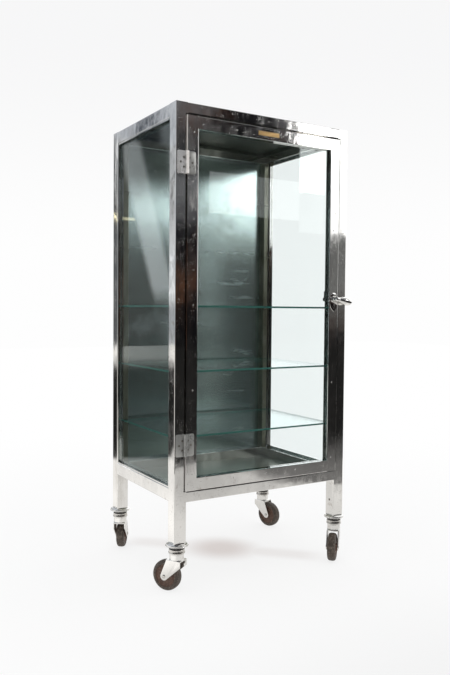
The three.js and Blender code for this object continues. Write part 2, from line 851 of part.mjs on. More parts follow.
// A fork cheek in the plane of the trail: broad under the race and narrowing to a round end at the axle
function cheekShape() {
  const axle = new THREE.Vector2(forkTrail, wheelDiameter / 2);
  const rear = new THREE.Vector2(-lowerRaceRadius, forkTop - forkShoulder);
  const ahead = new THREE.Vector2(forkFrontReach, forkUnder);
  const start = touchAngle(rear, axle, forkEndRadius, 1);
  const end = touchAngle(ahead, axle, forkEndRadius, -1) + 2 * Math.PI;
  const shape = new THREE.Shape();
  shape.moveTo(-lowerRaceRadius, forkTop);
  shape.lineTo(rear.x, rear.y);
  shape.absarc(axle.x, axle.y, forkEndRadius, start, end, false);
  shape.lineTo(ahead.x, ahead.y);
  shape.lineTo(forkFrontReach, forkTop);
  return shape;
}

const forkInner = wheelHubWidth / 2 + wheelSideGap;
const forkOuter = forkInner + forkPlate;

function axleRod(radius, half) {
  const z = wheelDiameter / 2;
  return rod(radius, at(forkTrail, -half, z), at(forkTrail, half, z), pinSides);
}

// Fork: two cheeks and a bridge, with the lower race standing on it. X is the way of the trail
function makeFork() {
  const cheek = (y) => solid(lay(extrude(cheekShape(), forkPlate, arcSteps), RIGHT, UP, at(0, y, 0)));
  const bridge = column(
    rectangle([-lowerRaceRadius, forkFrontReach], [-forkOuter, forkOuter], forkPlate),
    0,
    0,
    [forkUnder, forkTop],
  );
  const raceBore = kingpinRadius + fit;
  const waist = lowerRaceRadius - raceEdge;
  const race = solid(turned([
    [raceBore, forkUnder], [lowerRaceRadius, forkUnder],
    [lowerRaceRadius, forkTop], [waist, forkTop + raceEdge],
    [waist, lowerRaceTop - 2 * raceEdge], [lowerRaceRadius, lowerRaceTop - raceEdge],
    [lowerRaceRadius, lowerRaceTop], [raceBore, lowerRaceTop], [raceBore, forkUnder],
  ], raceSides));
  const body = join([cheek(forkOuter), cheek(-forkInner), bridge, race]);
  const bore = rod(raceBore, at(0, 0, forkUnder - overrun), at(0, 0, forkTop + overrun), raceSides);
  return cut(body, [bore, axleRod(axleRadius + fit, forkOuter + overrun)]);
}

// Wheel: solid, with rounded shoulders, a thinner web and a hub. One facet of the tread lies on the floor
function makeWheel() {
  const grow = 1 / Math.cos(Math.PI / wheelSides);
  const radius = (wheelDiameter / 2) * grow;
  const treadHalf = wheelTreadWidth / 2;
  const half = wheelWidth / 2;
  const rimInner = radius - wheelShoulder - wheelRimDepth;
  const outward = [
    [wheelHubRadius, wheelHubWidth / 2], [wheelHubRadius + wheelSideGap, wheelWebWidth / 2],
    [rimInner, wheelWebWidth / 2], [radius - wheelShoulder, half],
    [radius - wheelShoulder / 4, (half + treadHalf) / 2 + wheelSideGap], [radius, treadHalf],
  ];
  const bore = axleRadius + fit;
  const profile = [
    [bore, -wheelHubWidth / 2],
    ...outward.map(([r, y]) => [r, -y]),
    ...outward.slice().reverse(),
    [bore, wheelHubWidth / 2],
    [bore, -wheelHubWidth / 2],
  ];
  const wheel = turned(profile, wheelSides).rotateZ(Math.PI / wheelSides);
  return solid(lay(wheel, UP, RIGHT, at(forkTrail, 0, wheelDiameter / 2)));
}

function makeAxle() {
  const half = forkOuter + fit;
  const tip = half + axleHeadHeight;
  const profile = [
    [0, -tip], [axleHeadRadius / 2, -tip], [axleHeadRadius, -half], [axleRadius, -half],
    [axleRadius, half], [axleHeadRadius, half], [axleHeadRadius / 2, tip], [0, tip],
  ];
  return turnedInward(profile, pinSides, at(forkTrail, 0, wheelDiameter / 2));
}

const hingeNames = ['upper', 'lower'];

function makeBody() {
  const group = new THREE.Group();
  for (const [name, corner] of Object.entries(corners)) {
    group.add(piece(`post_${name}`, makePost(corner), chrome));
  }
  group.add(...makeRails());
  group.add(piece('roof_panel', makeLevelPan(frameTop - roofRecess, roofPanDepth), sheetMetal));
  group.add(piece('floor_panel', makeLevelPan(frameBottom + floorRise, floorPanDepth), sheetMetal));
  group.add(piece('back_panel', makeBackPanel(), sheetMetal));
  for (const [name, side] of [['left', -1], ['right', 1]]) {
    group.add(piece(`side_glass_${name}`, makeSideGlass(side), paneGlass));
    group.add(piece(`side_channel_${name}`, makeSideChannel(side), chrome));
  }
  ['lower', 'middle', 'upper'].forEach((name, number) => {
    group.add(piece(`shelf_${name}`, makeShelf(number), shelfGlass));
  });
  hingeLevels.forEach((level, i) => {
    group.add(piece(`hinge_${hingeNames[i]}_frame_leaf`, makeHingeLeaf(-1, level), wornChrome));
    group.add(piece(`hinge_${hingeNames[i]}_pin`, makeHingePin(level), wornChrome));
  });
  return group;
}

function makeDoor() {
  const group = new THREE.Group();
  const screws = doorScrewPoints();
  const hingeHoles = frontHoles(allHingeScrewPoints(1), hingeScrewRadius, doorWall + overrun);
  const lockHoles = [
    spindleHole(spindleHoleRadius, front - overrun, doorBack + overrun),
    keyholeCutter(front - overrun, front + doorWall + overrun),
  ];
  const hingeStile = makeStile(
    RIGHT,
    at(doorLeft, front, doorBottom),
    [...screwHoles(screws.hingeStile), ...hingeHoles],
  );
  const lockStile = makeStile(
    LEFT,
    at(doorRight, front, doorTop),
    [...screwHoles(screws.lockStile), ...lockHoles],
  );
  const topRail = makeDoorRail(
    DOWN,
    at(doorLeft + doorMember, front, doorTop),
    screwHoles(screws.topRail),
  );
  const bottomRail = makeDoorRail(
    UP,
    at(doorRight - doorMember, front, doorBottom),
    screwHoles(screws.bottomRail),
  );
  group.add(piece('door_stile_hinge_side', hingeStile, chrome));
  group.add(piece('door_stile_lock_side', lockStile, chrome));
  group.add(piece('door_rail_top', topRail, chrome));
  group.add(piece('door_rail_bottom', bottomRail, chrome));
  group.add(piece('door_glass', makeDoorGlass(), paneGlass));
  group.add(piece('door_glazing_bead', makeDoorBead(), chrome));
  group.add(piece('nameplate', makeNameplate(), brass));
  hingeLevels.forEach((level, i) => {
    group.add(piece(`hinge_${hingeNames[i]}_door_leaf`, makeHingeLeaf(1, level), wornChrome));
  });
  group.add(piece('lock_plate', makeLockPlate(), chrome));
  group.add(piece('lock_case', makeLockCase(), darkSteel));
  return group;
}

function makeLatch() {
  const group = new THREE.Group();
  group.add(piece('lever_handle', makeLever(), chrome));
  group.add(piece('latch_spindle', makeSpindle(), darkSteel));
  group.add(piece('latch_tongue', makeTongue(), chrome));
  return group;
}

// A caster: the cup and the swivel head stay square to the leg, and the fork below them trails its own way
function makeCaster(name, { x, y, turn }) {
  const caster = new THREE.Group();
  caster.position.set(x * (right - tubeSize / 2), y * (back - tubeSize / 2), 0);
  caster.add(piece(`caster_cup_${name}`, makeCup(x), chrome));
  caster.add(piece(`caster_swivel_head_${name}`, makeSwivelHead(), wornChrome));
  const trailing = new THREE.Group();
  trailing.rotation.z = THREE.MathUtils.degToRad(turn);
  trailing.add(piece(`caster_fork_${name}`, makeFork(), chrome));
  trailing.add(piece(`caster_wheel_${name}`, makeWheel(), brownWheel));
  trailing.add(piece(`caster_axle_${name}`, makeAxle(), wornChrome));
  caster.add(trailing);
  return caster;
}

// The origin is on the floor, under the middle of the overall box
function makeCabinet() {
  const cabinet = new THREE.Group();
  const casters = Object.entries(corners).map(([name, corner]) => makeCaster(name, corner));
  cabinet.add(makeBody(), makeDoor(), makeLatch(), ...casters);
  const box = new THREE.Box3().setFromObject(cabinet, true);
  const middle = box.getCenter(new THREE.Vector3());
  cabinet.position.set(-middle.x, -middle.y, -box.min.z);
  const whole = new THREE.Group();
  whole.add(cabinet);
  return whole;
}

export default makeCabinet();
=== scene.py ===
# The looks of a glazed mortuary cabinet: old chromed tube, streaked sheet, green-edged glass,
# worn hinges, a brass plate and brown caster wheels. Everything is in metres, in the frame's own axes.

import json
import math
import random

import bmesh
import bpy
from mathutils import Matrix, Vector


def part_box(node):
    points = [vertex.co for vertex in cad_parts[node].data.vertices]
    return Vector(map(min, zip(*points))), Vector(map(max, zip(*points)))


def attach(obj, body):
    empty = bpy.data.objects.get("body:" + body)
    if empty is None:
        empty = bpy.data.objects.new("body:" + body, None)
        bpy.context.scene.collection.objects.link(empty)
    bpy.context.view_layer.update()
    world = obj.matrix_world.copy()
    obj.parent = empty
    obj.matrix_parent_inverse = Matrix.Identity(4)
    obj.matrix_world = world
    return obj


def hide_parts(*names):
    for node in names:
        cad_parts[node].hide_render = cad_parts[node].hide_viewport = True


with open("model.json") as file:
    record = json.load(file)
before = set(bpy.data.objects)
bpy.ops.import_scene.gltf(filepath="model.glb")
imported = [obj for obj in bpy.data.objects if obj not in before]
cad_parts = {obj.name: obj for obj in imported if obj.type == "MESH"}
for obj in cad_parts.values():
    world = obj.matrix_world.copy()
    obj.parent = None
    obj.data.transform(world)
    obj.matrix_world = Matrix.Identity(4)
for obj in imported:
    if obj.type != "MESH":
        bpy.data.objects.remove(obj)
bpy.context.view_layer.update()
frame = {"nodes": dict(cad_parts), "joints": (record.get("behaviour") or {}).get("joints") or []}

MM = 0.001
UP = Vector((0, 0, 1))
BACK = Vector((0, 1, 0))
FRONT = Vector((0, -1, 0))
RIGHT = Vector((1, 0, 0))
LEFT = Vector((-1, 0, 0))
CORNERS = ("front_left", "front_right", "back_left", "back_right")
joints = {joint["name"]: joint for joint in frame["joints"]}


# Shader maths

class Value:
    """A number that changes over a surface. Python's operators on it add the Math nodes."""

    def __init__(self, finish, socket):
        self.finish = finish
        self.socket = socket

    def __add__(self, other):
        return self.finish.maths("ADD", self, other)

    def __sub__(self, other):
        return self.finish.maths("SUBTRACT", self, other)

    def __rsub__(self, other):
        return self.finish.maths("SUBTRACT", other, self)

    def __mul__(self, other):
        return self.finish.maths("MULTIPLY", self, other)

    def __truediv__(self, other):
        return self.finish.maths("DIVIDE", self, other)

    def __pow__(self, other):
        return self.finish.maths("POWER", self, other)

    def __neg__(self):
        return self * -1

    def __abs__(self):
        return self.finish.maths("ABSOLUTE", self)

    __radd__ = __add__
    __rmul__ = __mul__

    def larger(self, other):
        return self.finish.maths("MAXIMUM", self, other)

    def smaller(self, other):
        return self.finish.maths("MINIMUM", self, other)

    def clipped(self):
        return self.larger(0).smaller(1)


class Finish:
    """One node tree, and the ways to add to it."""

    def __init__(self, tree):
        self.tree = tree
        tree.nodes.clear()

    def add(self, kind, settings=None, sockets=None, output=None):
        """Adds a node: its settings first, then the values or links of its sockets."""
        node = self.tree.nodes.new(kind)
        for name, value in (settings or {}).items():
            setattr(node, name, value)
        for name, value in (sockets or {}).items():
            fitting = [s for s in node.inputs if s.enabled and s.name == name.rstrip("2")]
            socket = fitting[1 if name.endswith("2") else 0]
            if isinstance(value, Value):
                self.tree.links.new(value.socket, socket)
            else:
                socket.default_value = value
        outputs = [s for s in node.outputs if s.enabled and output in (None, s.name)]
        return Value(self, outputs[0]) if outputs else None

    def maths(self, operation, first, second=None):
        sockets = {"Value": first} if second is None else {"Value": first, "Value2": second}
        return self.add("ShaderNodeMath", {"operation": operation}, sockets)

    def place(self):
        """Where a point is on the object, in metres."""
        return self.add("ShaderNodeTexCoord", output="Object")

    def facing(self):
        """Which way the surface faces, in the object's own axes."""
        return self.add("ShaderNodeTexCoord", output="Normal")

    def moved(self, stretch=(1, 1, 1), shift=(0, 0, 0), source=None):
        sockets = {"Vector": source or self.place(), "Scale": stretch, "Location": shift}
        return self.add("ShaderNodeMapping", None, sockets)

    def axes(self, vector=None):
        """The three numbers of a vector, or of the place on the object."""
        source = vector or self.place()
        return [self.add("ShaderNodeSeparateXYZ", None, {"Vector": source}, axis) for axis in "XYZ"]

    def noise(self, scale, detail=2.0, roughness=0.5, where=None, **stretch):
        sockets = {
            "Vector": where or self.moved(**stretch),
            "Scale": scale, "Detail": detail, "Roughness": roughness,
        }
        return self.add("ShaderNodeTexNoise", {"noise_dimensions": "3D"}, sockets, "Fac")

    def dots(self, scale, size, **stretch):
        """1 in the middle of small scattered dots and 0 between them."""
        sockets = {"Vector": self.moved(**stretch), "Scale": scale}
        distance = self.add("ShaderNodeTexVoronoi", {"feature": "F1"}, sockets, "Distance")
        return self.rise(distance, size, size * 0.4)

    def rise(self, value, start, end):
        """0 before the start and 1 after the end, with a smooth slope between them."""
        settings = {"interpolation_type": "SMOOTHSTEP"}
        if start < end:
            return self.add("ShaderNodeMapRange", settings, {"Value": value, "From Min": start, "From Max": end})
        return 1 - self.add("ShaderNodeMapRange", settings, {"Value": value, "From Min": end, "From Max": start})

    def within(self, value, low, high, soft):
        return self.rise(value, low - soft, low + soft) * self.rise(value, high + soft, high - soft)

    def blend(self, first, second, share):
        first, second = [c if isinstance(c, Value) else (*c, 1) for c in (first, second)]
        sockets = {"Factor": share, "A": first, "B": second}
        return self.add("ShaderNodeMix", {"data_type": "RGBA"}, sockets)

    def bump(self, height, distance, strength=1.0, under=None):
        sockets = {"Height": height, "Distance": distance, "Strength": strength}
        if under:
            sockets["Normal"] = under
        return self.add("ShaderNodeBump", None, sockets)

    def surface(self, **sockets):
        return self.add("ShaderNodeBsdfPrincipled", None, {n.replace("_", " "): v for n, v in sockets.items()})

    def mixed(self, first, second, share):
        """Two shaders, the second one by the share given."""
        return self.add("ShaderNodeMixShader", None, {"Fac": share, "Shader": first, "Shader2": second})

    def glow(self, colour):
        return self.add("ShaderNodeEmission", None, {"Color": colour, "Strength": 1.0})

    def seen_by(self, ray):
        """1 for the kind of ray named and 0 for the rest."""
        return self.add("ShaderNodeLightPath", output=f"Is {ray} Ray")

    def give(self, shader, kind="ShaderNodeOutputMaterial"):
        self.add(kind, None, {"Surface": shader})


def material(name, paint):
    """A named material, painted by a function that is given its node tree."""
    made = bpy.data.materials.new(name)
    made.use_nodes = True
    finish = Finish(made.node_tree)
    finish.give(paint(finish))
    return made


# Finishes of the cabinet

# Colour of the painted highlights on the door's edge and on the hinge knuckles.
PAINTED_HIGHLIGHT_TONE = (0.78, 0.74, 0.7)
CLOUDY = 0.86


def plated(tone, grime_tone, pit_tone, dull, dirt, pitting, wave, metal=1.0, fine=1.0, painted_highlight=None):
    """Old chrome plate: cloudy, pitted and a little wavy, with a painted pale highlight where the function given is 1.
    """
    def paint(f):
        clouds = f.noise(7, 4, 0.55, stretch=(1, 1, 0.6))
        smears = f.noise(26, 5, 0.65, stretch=(1, 1, 0.55))
        rubbed = f.noise(90, 3, 0.6, stretch=(1, 1, 0.25))
        grime = f.rise(f.noise(38 * fine, 6, 0.7), 0.56, 0.74) * dirt
        specks = f.dots(160 * fine, 0.2) * f.rise(f.noise(18 * fine, 2), 0.5, 0.62)
        freckles = f.dots(420, 0.22) * f.rise(f.noise(30 * fine, 3), 0.48, 0.6)
        pits = (specks + freckles * 0.7).clipped() * pitting
        colour = f.blend(tone, [c * CLOUDY for c in tone], f.rise(clouds, 0.35, 0.7))
        colour = f.blend(colour, grime_tone, grime)
        colour = f.blend(colour, pit_tone, pits * 0.8)
        roughness = dull + f.rise(smears, 0.4, 0.75) * 0.1 + f.rise(rubbed, 0.5, 0.8) * 0.06
        roughness = (roughness + grime * 0.2 + pits * 0.3).clipped()
        shine = metal
        # Painted highlight: a pale, nearly unmetallic colour where the function given is 1.
        if painted_highlight:
            pale = painted_highlight(f)
            colour = f.blend(colour, PAINTED_HIGHLIGHT_TONE, pale)
            shine = metal - pale * metal * 0.9
        waves = f.noise(11, 2, 0.5)
        dents = f.noise(70, 2, 0.5)
        normal = f.bump(waves, wave * MM)
        normal = f.bump(dents, 0.02 * MM, 1.0, normal)
        normal = f.bump(1 - pits, 0.12 * MM, 1.0, normal)
        return f.surface(Base_Color=colour, Metallic=shine, Roughness=roughness, Normal=normal)
    return paint


BOW_MIDDLE = 0.175
BOW_HALF = 0.09
BOW_HEIGHT = 1.017
LINE_HEIGHT = 1.154
LINE_ENDS = (0.05, 0.27)
BACK_TONE = (0.6, 0.6, 0.59)


def wipe_marks(f):
    """Sideways streaks on the back sheet, and two longer marks: a level one and a bowed one."""
    x, _, z = f.axes()
    broken = f.rise(f.noise(40, 4, 0.65, stretch=(0.5, 0.5, 1.5)), 0.4, 0.62)
    off = (x - BOW_MIDDLE) / BOW_HALF
    bow = z - off ** 4 * 0.04 - x * 0.06
    bowed = f.within(bow, BOW_HEIGHT - 5 * MM, BOW_HEIGHT + 5 * MM, 6 * MM) * f.rise(abs(off), 1.05, 0.8) * 0.7
    level = f.within(z, LINE_HEIGHT - 4 * MM, LINE_HEIGHT + 4 * MM, 4 * MM) * f.within(x, *LINE_ENDS, 20 * MM)
    streaks = f.rise(f.noise(9, 4, 0.6, stretch=(0.3, 0.3, 2.2)), 0.6, 0.72) * 0.6
    return ((bowed + level) * broken + streaks).clipped()


def sheet_metal(tone, stain, sharp, haze, marks=None, grain=0.0):
    """Polished sheet under a haze of fine scratches, with soft stains. Marks is a function that gives its
    wiped marks, for a sheet that is greyer behind. Grain draws its highlights out sideways, as upright
    rolling marks do."""
    def paint(f):
        wiped = f.noise(3, 4, 0.6, stretch=(0.7, 0.7, 1.6))
        stains = f.rise(f.noise(6, 5, 0.65), 0.48, 0.72)
        colour = f.blend(tone, [c * CLOUDY for c in tone], f.rise(wiped, 0.35, 0.65))
        colour = f.blend(colour, stain, stains * 0.35)
        share = haze + f.rise(stains, 0.3, 0.9) * 0.12
        if marks:
            _, backwards, _ = f.axes(f.facing())
            colour = f.blend(colour, BACK_TONE, f.rise(backwards, 0.4, 0.6))
            share = share + marks(f) * 0.5
        normal = f.bump(f.noise(2.2, 1), 1.5 * MM)
        roughness = sharp + f.rise(wiped, 0.35, 0.7) * 0.05
        mirror = f.surface(Base_Color=colour, Metallic=1.0, Roughness=roughness, Normal=normal, Anisotropic=grain)
        scratched = f.surface(Base_Color=colour, Metallic=0.9, Roughness=0.5, Normal=normal)
        return f.mixed(mirror, scratched, share.clipped())
    return paint


GLASS_GLOSS_TONE = (0.9, 0.95, 0.94, 1)
GLASS_DUST_TONE = (0.75, 0.82, 0.8, 1)
GLASS_MIRROR = 0.022


def pane(tint, edge, body, edge_axis):
    """Glass: clear through its faces, green at its cut edges, with a thin film of dust and wipe marks."""
    def paint(f):
        across = abs(f.axes(f.facing())[edge_axis])
        cut_edge = f.rise(across, 0.7, 0.3)
        wiped = f.rise(f.noise(8, 4, 0.6, stretch=(1, 1, 0.4)), 0.45, 0.75)
        dust = f.rise(f.noise(60, 5, 0.7), 0.5, 0.8)
        film = wiped * 0.008 + dust * 0.006
        clear = f.add("ShaderNodeBsdfTransparent", None, {"Color": (*tint, 1)})
        gloss = f.surface(Base_Color=GLASS_GLOSS_TONE, Metallic=1.0, Roughness=0.015)
        milky = f.surface(Base_Color=GLASS_DUST_TONE, Roughness=0.5)
        green = f.surface(Base_Color=(*edge, 1), Roughness=0.12)
        slant = f.add("ShaderNodeLayerWeight", None, {"Blend": 0.5}, "Facing")
        mirror = slant ** 5 * 0.96 + GLASS_MIRROR
        faces = f.mixed(f.mixed(clear, milky, film.clipped()), gloss, mirror.clipped())
        return f.mixed(faces, green, (cut_edge * body).clipped())
    return paint


def hard_rubber(tone, dusty):
    """Hard brown wheel rubber: mottled, scuffed pale on the tread, dusty in the dish."""
    def paint(f):
        mottle = f.noise(45, 5, 0.65)
        scuffs = f.rise(f.noise(140, 6, 0.75), 0.48, 0.66)
        grit = f.noise(600, 3, 0.6)
        colour = f.blend([c * 0.62 for c in tone], tone, f.rise(mottle, 0.3, 0.7))
        colour = f.blend(colour, dusty, scuffs * 0.55)
        roughness = 0.42 + mottle * 0.25 + scuffs * 0.2
        normal = f.bump(mottle, 0.25 * MM)
        normal = f.bump(grit, 0.06 * MM, 1.0, normal)
        return f.surface(Base_Color=colour, Roughness=roughness.clipped(), Normal=normal)
    return paint


def black_rubber(f):
    mottle = f.noise(80, 4, 0.6)
    colour = f.blend((0.012, 0.011, 0.011), (0.05, 0.045, 0.042), f.rise(mottle, 0.45, 0.75))
    return f.surface(Base_Color=colour, Roughness=0.45 + mottle * 0.3, Normal=f.bump(mottle, 0.1 * MM))


def old_brass(f):
    worn = f.rise(f.noise(90, 5, 0.65, stretch=(0.4, 1, 1)), 0.4, 0.7)
    brushed = f.noise(900, 2, 0.5, stretch=(0.05, 1, 1))
    colour = f.blend((0.54, 0.36, 0.16), (0.26, 0.17, 0.08), worn * 0.8)
    normal = f.bump(brushed, 0.015 * MM)
    return f.surface(Base_Color=colour, Metallic=1.0, Roughness=0.3 + worn * 0.2, Normal=normal)


def bare_steel(f):
    mottle = f.noise(110, 5, 0.65)
    colour = f.blend((0.16, 0.145, 0.13), (0.36, 0.33, 0.3), f.rise(mottle, 0.4, 0.7))
    return f.surface(
        Base_Color=colour, Metallic=1.0, Roughness=0.38 + mottle * 0.25, Normal=f.bump(mottle, 0.05 * MM))


def painted_edge_highlight(f):
    """Painted highlight on the door's hinge-side edge above and below its hinges, and painted light on its bottom edge,
    in the gap over the rail.
    """
    x, _, z = f.axes()
    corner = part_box("door_stile_hinge_side")[0]
    above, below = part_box("hinge_upper_door_leaf")[1].z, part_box("hinge_lower_door_leaf")[0].z
    # Painted highlight, full above the upper hinge and at 0.6 below the lower one; painted light at 0.6 on the bottom
    # edge.
    beside = f.rise(z, above, above + 4 * MM) + f.rise(z, below, below - 4 * MM) * 0.6
    under = f.rise(z, corner.z + 2 * MM, corner.z + 1.5 * MM) * 0.6
    return (f.rise(x, corner.x + 2 * MM, corner.x + 1.5 * MM) * beside).larger(under)


def knuckles(f):
    """The front of the upper hinge's knuckles, where a painted pale highlight goes."""
    x, _, z = f.axes()
    low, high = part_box("hinge_upper_pin")
    return f.within(x, low.x - 2.5 * MM, high.x + 2 * MM, 1 * MM) * f.rise(z, low.z - 0.2, low.z - 0.1)


CHROME_TONE = (0.82, 0.81, 0.79)
# Colours of the painted reflection of the sheets inside the cabinet, on the back posts' inside faces.
PAINTED_REFLECTION_TONE = (0.26, 0.265, 0.21)
DARK_PAINTED_REFLECTION_TONE = (0.14, 0.135, 0.1)
WORN_CHROME_TONE = (0.55, 0.52, 0.47)
SHEET_LINE = 7.66 * MM
PANE_LINE = 22.75 * MM


def dull_inside(f):
    """The back posts: chrome outside, and dull on the faces inside the cabinet, where an olive colour is a painted
    reflection of the sheets inside.
    Its lines are measured inwards from the posts' outer faces: that of the back sheet and that of the side panes."""
    x, y, z = f.axes()
    left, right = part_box("post_back_left")[0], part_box("post_back_right")[1]
    low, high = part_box("bottom_rail_back")[0].z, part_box("top_rail_back")[0].z
    centre, half = (left.x + right.x) / 2, (right.x - left.x) / 2
    inside = f.rise(y, right.y - SHEET_LINE + 0.1 * MM, right.y - SHEET_LINE - 0.1 * MM)
    inside *= f.rise(abs(x - centre), half - PANE_LINE + 0.25 * MM, half - PANE_LINE - 0.25 * MM)
    inside *= f.within(z, low, high, 0.5 * MM)
    grime = f.rise(f.noise(30, 5, 0.65, stretch=(1, 1, 0.3)), 0.4, 0.7)
    chrome = f.blend(CHROME_TONE, WORN_CHROME_TONE, grime * 0.4)
    # Painted reflection: the inside faces take the olive of the sheets they face, darkened by grime.
    olive = f.blend(PAINTED_REFLECTION_TONE, DARK_PAINTED_REFLECTION_TONE, grime)
    roughness = 0.06 + grime * 0.1 + inside * 0.3
    normal = f.bump(f.noise(16, 2, 0.5, stretch=(1, 1, 0.45)), 0.9 * MM)
    colour = f.blend(chrome, olive, inside)
    return f.surface(Base_Color=colour, Metallic=1.0 - inside * 0.12, Roughness=roughness, Normal=normal)


CHROME = {
    "tone": CHROME_TONE, "grime_tone": (0.3, 0.24, 0.2), "pit_tone": (0.1, 0.08, 0.07),
    "dull": 0.05, "dirt": 0.5, "pitting": 0.9, "wave": 0.55,
}
# Both hinge finishes take the painted pale highlight on the upper hinge's knuckles.
HINGE = {"dirt": 1.0, "pitting": 1.0, "wave": 0.5, "metal": 0.62, "fine": 3.0, "painted_highlight": knuckles}
WINDOW = {"tint": (0.985, 1, 0.998), "edge": (0.2, 0.26, 0.24), "body": 0.5}

finishes = {
    "tube": material("chromed tube", plated(**CHROME)),
    # The door's hinge stile and bottom rail carry the painted edge highlight and the painted light in the bottom gap.
    "door_tube": material("chromed tube, painted edge highlight", plated(**CHROME, painted_highlight=painted_edge_highlight)),
    "hardware": material("chromed hardware", plated(
        tone=CHROME_TONE, grime_tone=(0.4, 0.33, 0.28), pit_tone=(0.12, 0.1, 0.09),
        dull=0.08, dirt=0.5, pitting=0.6, wave=0.3)),
    "hinge": material("worn hinge plate, painted knuckle highlight", plated(
        tone=(0.8, 0.79, 0.78), grime_tone=(0.22, 0.2, 0.18), pit_tone=(0.1, 0.09, 0.08), dull=0.24, **HINGE)),
    "dull_hinge": material("dull hinge plate, painted knuckle highlight", plated(
        tone=(0.4, 0.4, 0.385), grime_tone=(0.14, 0.13, 0.11), pit_tone=(0.06, 0.055, 0.05), dull=0.26, **HINGE)),
    "race": material("worn race", plated(
        tone=(0.62, 0.6, 0.57), grime_tone=(0.3, 0.22, 0.17), pit_tone=(0.1, 0.08, 0.07),
        dull=0.16, dirt=0.9, pitting=0.8, wave=0.3)),
    "sheet": material("hazy sheet", sheet_metal(
        tone=(0.58, 0.7, 0.69), stain=(0.4, 0.47, 0.43), sharp=0.21, haze=0.12, marks=wipe_marks, grain=0.78)),
    "roof_sheet": material("dark roof sheet", sheet_metal(
        tone=(0.2, 0.22, 0.19), stain=(0.11, 0.115, 0.085), sharp=0.2, haze=0.5)),
    "floor_sheet": material("stained floor sheet", sheet_metal(
        tone=(0.4, 0.42, 0.37), stain=(0.27, 0.24, 0.16), sharp=0.2, haze=0.5)),
    "back_tube": material("tube, dull inside", dull_inside),
    "pane": material("window pane", pane(**WINDOW, edge_axis=0)),
    "door_pane": material("door pane", pane(**WINDOW, edge_axis=1)),
    "shelf": material("shelf glass", pane(
        tint=(0.93, 0.97, 0.96), edge=(0.035, 0.12, 0.1), body=0.95, edge_axis=2)),
    "wheel": material("brown wheel rubber", hard_rubber(tone=(0.12, 0.062, 0.042), dusty=(0.3, 0.2, 0.15))),
    "tread": material("scuffed tread", hard_rubber(tone=(0.075, 0.055, 0.042), dusty=(0.27, 0.22, 0.18))),
    "washer": material("black rubber", black_rubber),
    "brass": material("old brass", old_brass),
    "steel": material("darkened steel", bare_steel),
}


# Mesh making

def on_axes(place, x, y, z):
    """A matrix at the place, with the three axes given."""
    return Matrix.Translation(place) @ Matrix((x, y, z)).transposed().to_4x4()


def lifted(matrix, height):
    """The matrix, moved along its own Z."""
    return matrix @ Matrix.Translation((0, 0, height))


def frame_of(place, along, upright=UP):
    """A matrix whose Z runs along the axis given and whose Y is as near the upright as it can be."""
    z = along.normalized()
    if abs(z.dot(upright)) > 0.99:
        upright = BACK
    x = upright.cross(z).normalized()
    return on_axes(place, x, z.cross(x), z)


def turned(profile, matrix, steps=64):
    """Turns (radius, height) points about the matrix's Z. A profile clear of the axis closes on itself."""
    bm = bmesh.new()
    rings = []
    for radius, height in profile:
        count = steps if radius else 1
        angles = [2 * math.pi * i / count for i in range(count)]
        points = [(radius * math.cos(a), radius * math.sin(a), height) for a in angles]
        rings.append([bm.verts.new(matrix @ Vector(point)) for point in points])
    pairs = list(zip(rings, rings[1:]))
    if profile[0][0] and profile[-1][0]:
        pairs.append((rings[-1], rings[0]))
    for lower, upper in pairs:
        for i in range(steps):
            corners = [lower[i % len(lower)], lower[(i + 1) % len(lower)]]
            corners += [upper[(i + 1) % len(upper)], upper[i % len(upper)]]
            face = list(dict.fromkeys(corners))
            if len(face) > 2:
                bm.faces.new(face)
    return loose(bm)


def drill(radius, start, end, matrix, steps=32):
    """A round solid about the matrix's Z, to cut a hole with."""
    return turned([(0, start), (radius, start), (radius, end), (0, end)], matrix, steps)


def prism(outline, depth, matrix, soft=0.0, segments=3):
    """An outline of (x, y) points, extruded along the matrix's Z, with its edges softened."""
    bm = bmesh.new()
    low = [bm.verts.new(matrix @ Vector((x, y, 0))) for x, y in outline]
    high = [bm.verts.new(matrix @ Vector((x, y, depth))) for x, y in outline]
    bm.faces.new(low)
    bm.faces.new(high)
    for i in range(len(low)):
        j = (i + 1) % len(low)
        bm.faces.new((low[i], low[j], high[j], high[i]))
    return loose(bm, soft, segments)


def arc(x, y, radius, start, end, steps=8):
    """Points on an arc, from one angle to the other, in degrees."""
    angles = [math.radians(start + (end - start) * i / steps) for i in range(steps + 1)]
    return [(x + radius * math.cos(a), y + radius * math.sin(a)) for a in angles]


def rectangle(half_x, half_y):
    return [(-half_x, -half_y), (half_x, -half_y), (half_x, half_y), (-half_x, half_y)]


def rounded_rectangle(x0, x1, y0, y1, radius, steps=5):
    return [
        *arc(x1 - radius, y0 + radius, radius, -90, 0, steps), *arc(x1 - radius, y1 - radius, radius, 0, 90, steps),
        *arc(x0 + radius, y1 - radius, radius, 90, 180, steps), *arc(x0 + radius, y0 + radius, radius, 180, 270, steps),
    ]


def curve(points, steps=6):
    """Points on a smooth line through the points given."""
    ends = [points[0], *points, points[-1]]
    line = []
    for before, start, end, after in zip(ends, ends[1:], ends[2:], ends[3:]):
        for i in range(steps):
            t = i / steps
            line.append(tuple(
                0.5 * (2 * q + (r - p) * t + (2 * p - 5 * q + 4 * r - s) * t * t + (3 * q - p - 3 * r + s) * t ** 3)
                for p, q, r, s in zip(before, start, end, after)))
    return [*line, points[-1]]


def soften(bm, width, segments=3, angle=30):
    """Rounds every edge that is sharper than the angle."""
    sharp = [e for e in bm.edges if e.is_manifold and e.calc_face_angle(0) > math.radians(angle)]
    bmesh.ops.bevel(
        bm, geom=sharp, offset=width, segments=segments, profile=0.5, affect="EDGES", clamp_overlap=True)


